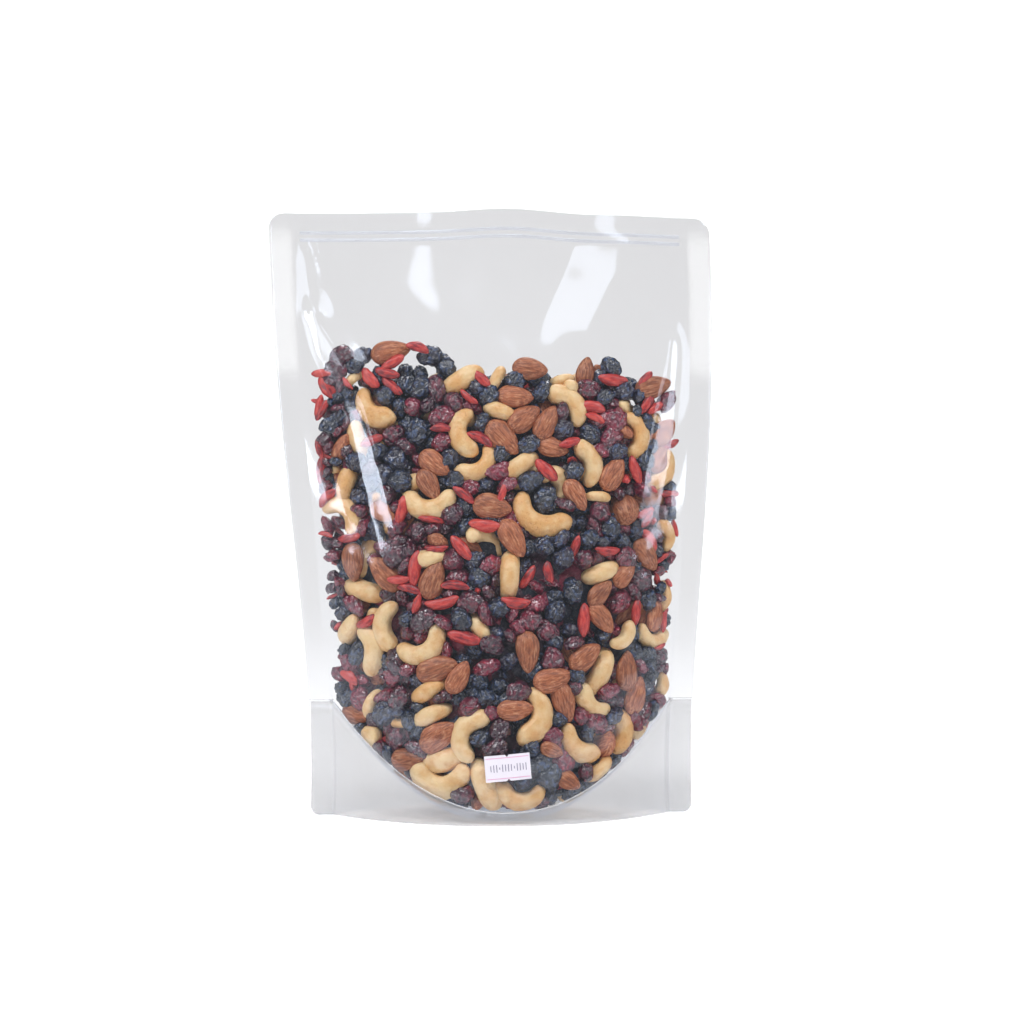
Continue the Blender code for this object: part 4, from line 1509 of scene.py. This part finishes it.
def cranberry_material():
    """Syrup-glazed skin: dark red, with a painted glow on the tops of its folds, a little translucent, and
    glossy.
    """
    material, tree, output = new_material("cranberry_skin")
    place, chance = piece_inputs(tree)
    normal, fine, folds = wrinkled(tree, place, CRANBERRY_WRINKLE, CRANBERRY_WRINKLE_DEPTH)
    shade = multiply_add(tree, chance[0], 0.42, fine)
    base = mixed(tree, ramp(tree, shade, 0.50, 1.0), CRANBERRY_DARK, CRANBERRY_RED)
    # Painted glow: the brightest pieces turn a brighter red on the tops of their folds, as if lit through the
    # skin.
    painted_glow = product(tree, ramp(tree, folds, 0.45, 0.10), ramp(tree, shade, 0.75, 1.05))
    colour = mixed(tree, painted_glow, base, CRANBERRY_PAINTED_GLOW)
    shader = add_node(
        tree, "ShaderNodeBsdfPrincipled", Base_Color=colour, Roughness=0.35, Subsurface_Weight=0.10,
        Subsurface_Radius=(0.003, 0.0006, 0.0006), Subsurface_Scale=1.0, Normal=normal, Coat_Weight=1.0,
        Coat_Roughness=0.11, Coat_Normal=normal,
    )
    tree.links.new(shader.outputs[0], output.inputs["Surface"])
    return material


add_kind("cranberry", cranberry_shapes(), blob_grid(CRANBERRY_CUTS)[1], cranberry_material())


# Goji berries: slim red berries dried to lengthwise wrinkles, matt to slightly waxy.
GOJI_LENGTH = 0.0122
GOJI_WIDTH = 0.0049
GOJI_THICK = 0.0038
GOJI_LENGTHS = (0.9, 1.1)
GOJI_WIDTHS = (0.85, 1.15)
GOJI_THICKNESSES = (0.8, 1.15)
GOJI_BLUNTNESS = 2.2
GOJI_ROUNDNESS = 0.60
GOJI_SWELLING = 1.12
GOJI_WRINKLE = 0.26
GOJI_BEND = 0.0014
GOJI_STATIONS = 14
GOJI_SIDES = 14
GOJI_RED = "#BE3836"
# Painted highlight and shade: the goji's colour is lighter on the wrinkles' ridges and darker in them.
GOJI_BRIGHT_TONE_AND_HIGHLIGHT = "#D65248"
GOJI_DARK_TONE_AND_SHADE = "#7C1F2A"


def goji_shapes():
    """Slim tubes with lengthwise wrinkles, tapered to both tips and a little bent."""
    count = number_of("goji")
    u, turn = tube_grid(GOJI_STATIONS, GOJI_SIDES)
    body = np.clip(1 - np.abs(u) ** GOJI_BLUNTNESS, 0, 1) ** GOJI_ROUNDNESS
    phase = rng.uniform(0, 6.3, (count, 1))
    wrinkle = 1 - GOJI_WRINKLE * np.abs(np.sin(2.5 * turn + phase + 0.8 * np.sin(2.4 * u + phase)))
    wide = GOJI_WIDTH / 2 * rng.uniform(*GOJI_WIDTHS, (count, 1)) * body * wrinkle * GOJI_SWELLING
    thick = GOJI_THICK / 2 * rng.uniform(*GOJI_THICKNESSES, (count, 1)) * body * wrinkle * GOJI_SWELLING
    bend = rng.uniform(-GOJI_BEND, GOJI_BEND, (count, 1)) * u**2
    x = GOJI_LENGTH / 2 * u * rng.uniform(*GOJI_LENGTHS, (count, 1))
    return np.stack([x, wide * np.cos(turn) + bend, thick * np.sin(turn)], -1)


def goji_material():
    """Dried berry skin: red, with painted shade in its wrinkles and a painted highlight on its ridges, with a
    dull waxy sheen.
    """
    material, tree, output = new_material("goji_skin")
    place, chance = piece_inputs(tree)
    stretched = add_node(
        tree, "ShaderNodeVectorMath", {"operation": "MULTIPLY"}, i0=place, i1=(0.35, 1.0, 1.0)
    )
    grain = add_node(tree, "ShaderNodeTexNoise", Vector=stretched.outputs[0], Scale=0.8, Detail=1.5)
    # Painted shade and highlight: the colour follows the relief, darker in the wrinkles and brighter on the
    # ridges, shifted by each berry's own tone.
    shade = multiply_add(tree, chance[0], 0.25, grain.outputs["Fac"])
    base = mixed(tree, ramp(tree, shade, 0.42, 0.66), GOJI_DARK_TONE_AND_SHADE, GOJI_RED)
    colour = mixed(tree, ramp(tree, shade, 0.66, 0.86), base, GOJI_BRIGHT_TONE_AND_HIGHLIGHT)
    relief = add_node(tree, "ShaderNodeBump", Strength=0.6, Distance=0.0004, Height=grain.outputs["Fac"])
    shader = add_node(
        tree, "ShaderNodeBsdfPrincipled", Base_Color=colour, Roughness=0.40, Subsurface_Weight=0.08,
        Subsurface_Radius=(0.002, 0.0005, 0.0004), Subsurface_Scale=1.0, Normal=relief.outputs[0],
    )
    tree.links.new(shader.outputs[0], output.inputs["Surface"])
    return material


add_kind("goji", goji_shapes(), tube_faces(GOJI_STATIONS, GOJI_SIDES), goji_material())


# Core: the food that lies too deep to be picked out, as one body a nut's thickness inside the film. Its
# surface is a bed of packed fruit in relief, blue-black and dark red, creased like the fruit above it.
CORE_DEPTH = 0.0108
CORE_CENTRE = (0.003, 0.0, 0.095)
CORE_CUTS = 64
CORE_REACH_MOST = 0.16
CORE_REACH_STEPS = 24
CORE_FRUIT_SPREAD = (1.0, 0.7, 1.3)
CORE_FRUIT_SPACING = 1.25
CORE_FRUIT = 950
CORE_FRUIT_RADIUS = 0.0058
CORE_FRUIT_RISE = 0.0042


def core_depth(points):
    """How deep points are: the least distance from the film, the cradle and the heap's top."""
    x, y, z = points.T
    return np.minimum.reduce([-film_gap(x, y, z)[0], -floor_gap(x, y, z)[0], heap_top(x) - z])


def core_reach(ways):
    """How far from the core's middle its even surface lies, along each of these directions."""
    near, far = np.zeros(len(ways)), np.full(len(ways), CORE_REACH_MOST)
    for _ in range(CORE_REACH_STEPS):
        middle = (near + far) / 2
        inside = core_depth(np.array(CORE_CENTRE) + ways * middle[:, None]) > CORE_DEPTH
        near, far = np.where(inside, middle, near), np.where(inside, far, middle)
    return near


def core_material():
    """Dried skins in the depth: each fruit of the relief is blue-black or dark red."""
    material, tree, output = new_material("deep_fruit")
    place = add_node(tree, "ShaderNodeTexCoord")
    chance = add_node(tree, "ShaderNodeAttribute", {"attribute_name": "chance"})
    apart = add_node(tree, "ShaderNodeSeparateXYZ", Vector=chance.outputs["Vector"])
    crease = add_node(
        tree, "ShaderNodeTexNoise", Vector=place.outputs["Object"], Scale=420.0, Detail=1.5, Roughness=0.5
    )
    colour = mixed(tree, ramp(tree, apart.outputs[0], 0.50, 0.62), RAISIN_BLACK, CRANBERRY_DARK)
    colour = mixed(tree, ramp(tree, apart.outputs[0], 0.72, 0.95), colour, CRANBERRY_RED)
    relief = add_node(tree, "ShaderNodeBump", Strength=1.0, Distance=0.0012, Height=crease.outputs["Fac"])
    shader = add_node(
        tree, "ShaderNodeBsdfPrincipled", Base_Color=colour, Roughness=0.42, Normal=relief.outputs[0]
    )
    tree.links.new(shader.outputs[0], output.inputs["Surface"])
    return material


def make_core():
    """The core, with fruit set apart over its surface and standing out of it."""
    ways, faces = blob_grid(CORE_CUTS)
    points = np.array(CORE_CENTRE) + ways * core_reach(ways)[:, None]
    seed_ways = rng.normal(size=(CORE_FRUIT * 3, 3)) * CORE_FRUIT_SPREAD
    seed_ways /= np.linalg.norm(seed_ways, axis=1, keepdims=True)
    seeds = np.array(CORE_CENTRE) + seed_ways * core_reach(seed_ways)[:, None]
    spaced, least = [], (CORE_FRUIT_SPACING * CORE_FRUIT_RADIUS) ** 2
    for seed in seeds:
        if all(np.sum((seed - other) ** 2) > least for other in spaced):
            spaced.append(seed)
    spaced = np.array(spaced)
    away = np.linalg.norm(points[:, None, :].astype(np.float32) - spaced[None].astype(np.float32), axis=2)
    nearest = np.argmin(away, axis=1)
    share = np.clip(1 - (away[np.arange(len(points)), nearest] / CORE_FRUIT_RADIUS) ** 2, 0, 1) ** 0.5
    points = points + ways * (CORE_FRUIT_RISE * share)[:, None]
    core = sheet_object("deep_core", points, faces, core_material())
    chance = core.data.attributes.new("chance", "FLOAT_VECTOR", "POINT")
    chance.data.foreach_set("vector", rng.random((len(spaced), 3))[nearest].astype(np.float32).ravel())
    return core


make_core()


# The panels come last, because the film sinks a little between the nuts that press on it.
DIP_DEEPEST = 0.0011
DIP_SMOOTHING = 9
DIP_LEAST = 0.4
DIP_FULL_BELOW = 0.11
DIP_LEAST_ABOVE = 0.19
DIP_SEAL_RUN = 0.16
DIP_TOP = 0.216
DIP_TOP_RUN = 0.02
DIP_WELD_MARGIN = 0.002
DIP_WELD_RUN = 0.012
DIP_LABEL_SQUASH = 1.4
DIP_LABEL_REACH = 0.009
DIP_LABEL_RUN = 0.015


def film_dips(side):
    """How far the film sinks at each point of the panel's grid: the smoothed gap to the balls behind it, but
    nothing at the seals, the weld, the label and the empty header."""
    x, z = panel_grid()
    gap = np.full(x.shape, DIP_DEEPEST)
    near_side = balls[:, 1] * side > 0
    for ball, radius in zip(balls[near_side], ball_radii[near_side]):
        rows = np.nonzero(np.abs(z[:, 0] - ball[2]) < radius)[0]
        if len(rows) == 0:
            continue
        r0, r1 = rows[0], rows[-1] + 1
        spread = radius**2 - (x[r0:r1] - ball[0]) ** 2 - (z[r0:r1] - ball[2]) ** 2
        front = np.abs(ball[1]) + np.sqrt(np.maximum(spread, 0))
        left = np.where(spread > 0, bulge(x[r0:r1], z[r0:r1]) - FILM_CLEARANCE - front, DIP_DEEPEST)
        gap[r0:r1] = np.minimum(gap[r0:r1], np.maximum(left, 0))
    for _ in range(DIP_SMOOTHING):
        padded = np.pad(gap, 1, mode="edge")
        gap = (padded[:-2, 1:-1] + padded[2:, 1:-1] + padded[1:-1, :-2] + padded[1:-1, 2:] + gap) / 5
    inside = off_seal(x, z, DIP_SEAL_RUN)
    inside = inside * ease((DIP_TOP - z) / DIP_TOP_RUN)
    inside = inside * ease((z - weld_height(x) - DIP_WELD_MARGIN) / DIP_WELD_RUN)
    inside = inside * (1 - (1 - DIP_LEAST) * ease((z - DIP_FULL_BELOW) / (DIP_LEAST_ABOVE - DIP_FULL_BELOW)))
    if side < 0:
        apart = np.hypot(x - LABEL_CENTRE[0], (z - LABEL_CENTRE[1]) * DIP_LABEL_SQUASH)
        inside = inside * ease((apart - DIP_LABEL_REACH) / DIP_LABEL_RUN)
    return gap * inside


panels = make_panels((film_dips(-1), film_dips(1)))
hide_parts("pouch")


# Stage: a white sweep under soft studio light from all sides. Small bright cards close to the pouch, which
# the camera doesn't see, draw the film's highlights: three by the side folds, and four by the empty header.
FLOOR_COLOUR = "#F5F5F5"
FLOOR_GLOW = 0.30
WORLD_STRENGTH = 0.14
WORLD_IN_GLOSS = 0.30
WORLD_SEEN = 1.25
SWEEP_FRONT = -1.6
SWEEP_BACK = 1.2
SWEEP_BEND = 0.8
SWEEP_STATIONS = 14
SWEEP_TOP = 4.0
SWEEP_HALF_WIDTH = 2.0


def floor_material():
    """Matt white, lit a little from within so that the floor stays white."""
    material, tree, output = new_material("sweep")
    shader = add_node(
        tree, "ShaderNodeBsdfPrincipled", Base_Color=linear(FLOOR_COLOUR), Roughness=0.9,
        Emission_Color=(1, 1, 1, 1), Emission_Strength=FLOOR_GLOW,
    )
    tree.links.new(shader.outputs[0], output.inputs["Surface"])
    return material


def area_light(name, place, aim, size, power, shape="RECTANGLE"):
    """A soft light that faces aim. size is its width and height in metres, and power is in watts."""
    data = bpy.data.lights.new(name, "AREA")
    data.shape = shape
    data.size, data.size_y = size
    data.energy = power
    light = bpy.data.objects.new(name, data)
    light.location = place
    light.rotation_euler = (Vector(aim) - Vector(place)).to_track_quat("-Z", "Y").to_euler()
    bpy.context.scene.collection.objects.link(light)
    light.visible_camera = False
    return light


def card(name, place, aim, size, glare, shape="RECTANGLE"):
    """A small lamp that only shines in the film and the fruit's gloss. glare is how bright its face is."""
    light = area_light(name, place, aim, size, glare * math.pi * size[0] * size[1], shape)
    light.visible_diffuse = False


sweep_profile = [(SWEEP_FRONT, 0.0), (SWEEP_BACK, 0.0)]
for angle in np.linspace(0.1, math.pi / 2, SWEEP_STATIONS):
    sweep_profile.append((SWEEP_BACK + SWEEP_BEND * math.sin(angle), SWEEP_BEND * (1 - math.cos(angle))))
sweep_profile.append((SWEEP_BACK + SWEEP_BEND, SWEEP_TOP))
sweep_points = [(x, y, z) for y, z in sweep_profile for x in (-SWEEP_HALF_WIDTH, SWEEP_HALF_WIDTH)]
floor = bpy.data.meshes.new("sweep")
floor.from_pydata(sweep_points, [], grid_faces(len(sweep_profile), 2))
floor.materials.append(floor_material())
floor.shade_smooth()
floor_object = bpy.data.objects.new("sweep", floor)
bpy.context.scene.collection.objects.link(floor_object)

world = bpy.data.worlds.new("studio")
world.use_nodes = True
sky = world.node_tree.nodes["Background"]
sky.inputs["Color"].default_value = (1, 1, 1, 1)
ray = add_node(world.node_tree, "ShaderNodeLightPath")
strength = add_node(
    world.node_tree, "ShaderNodeMapRange",
    Value=ray.outputs["Is Glossy Ray"], i3=WORLD_STRENGTH, i4=WORLD_IN_GLOSS,
)
seen = add_node(
    world.node_tree, "ShaderNodeMapRange",
    Value=ray.outputs["Is Camera Ray"], i3=strength.outputs[0], i4=WORLD_SEEN,
)
world.node_tree.links.new(seen.outputs[0], sky.inputs["Strength"])
bpy.context.scene.world = world
bpy.context.scene.view_settings.view_transform = "Standard"

area_light("top_softbox", (-0.25, -1.0, 1.75), (0, 0, 0.12), (0.6, 0.4), 24)
area_light("left_softbox", (-1.05, -0.62, 1.35), (0, 0, 0.12), (0.42, 0.3), 14)
area_light("right_softbox", (1.05, -0.62, 1.35), (0, 0, 0.12), (0.42, 0.3), 14)
area_light("back_softbox", (0.20, 1.05, 1.70), (0, 0, 0.12), (0.7, 0.4), 15)
card("left_card", (-0.285, -0.120, 0.200), (-0.060, -0.015, 0.175), (0.045, 0.13), 15.0)
card("left_upper_card", (-0.262, -0.175, 0.245), (-0.080, -0.004, 0.223), (0.05, 0.06), 5.0)
card("right_card", (0.318, -0.088, 0.200), (0.082, -0.008, 0.18), (0.045, 0.13), 9.0)
card("oval_card", (-0.044, -0.116, 0.298), (-0.034, -0.004, 0.258), (0.018, 0.014), 4.6, "ELLIPSE")
card("band_card", (0.003, -0.205, 0.388), (0.048, -0.004, 0.255), (0.075, 0.060), 4.4)
card("left_corner_card", (-0.148, -0.100, 0.280), (-0.090, 0.0, 0.254), (0.050, 0.045), 4.0)
card("right_corner_card", (0.172, -0.092, 0.225), (0.093, 0.0, 0.225), (0.036, 0.065), 4.0)
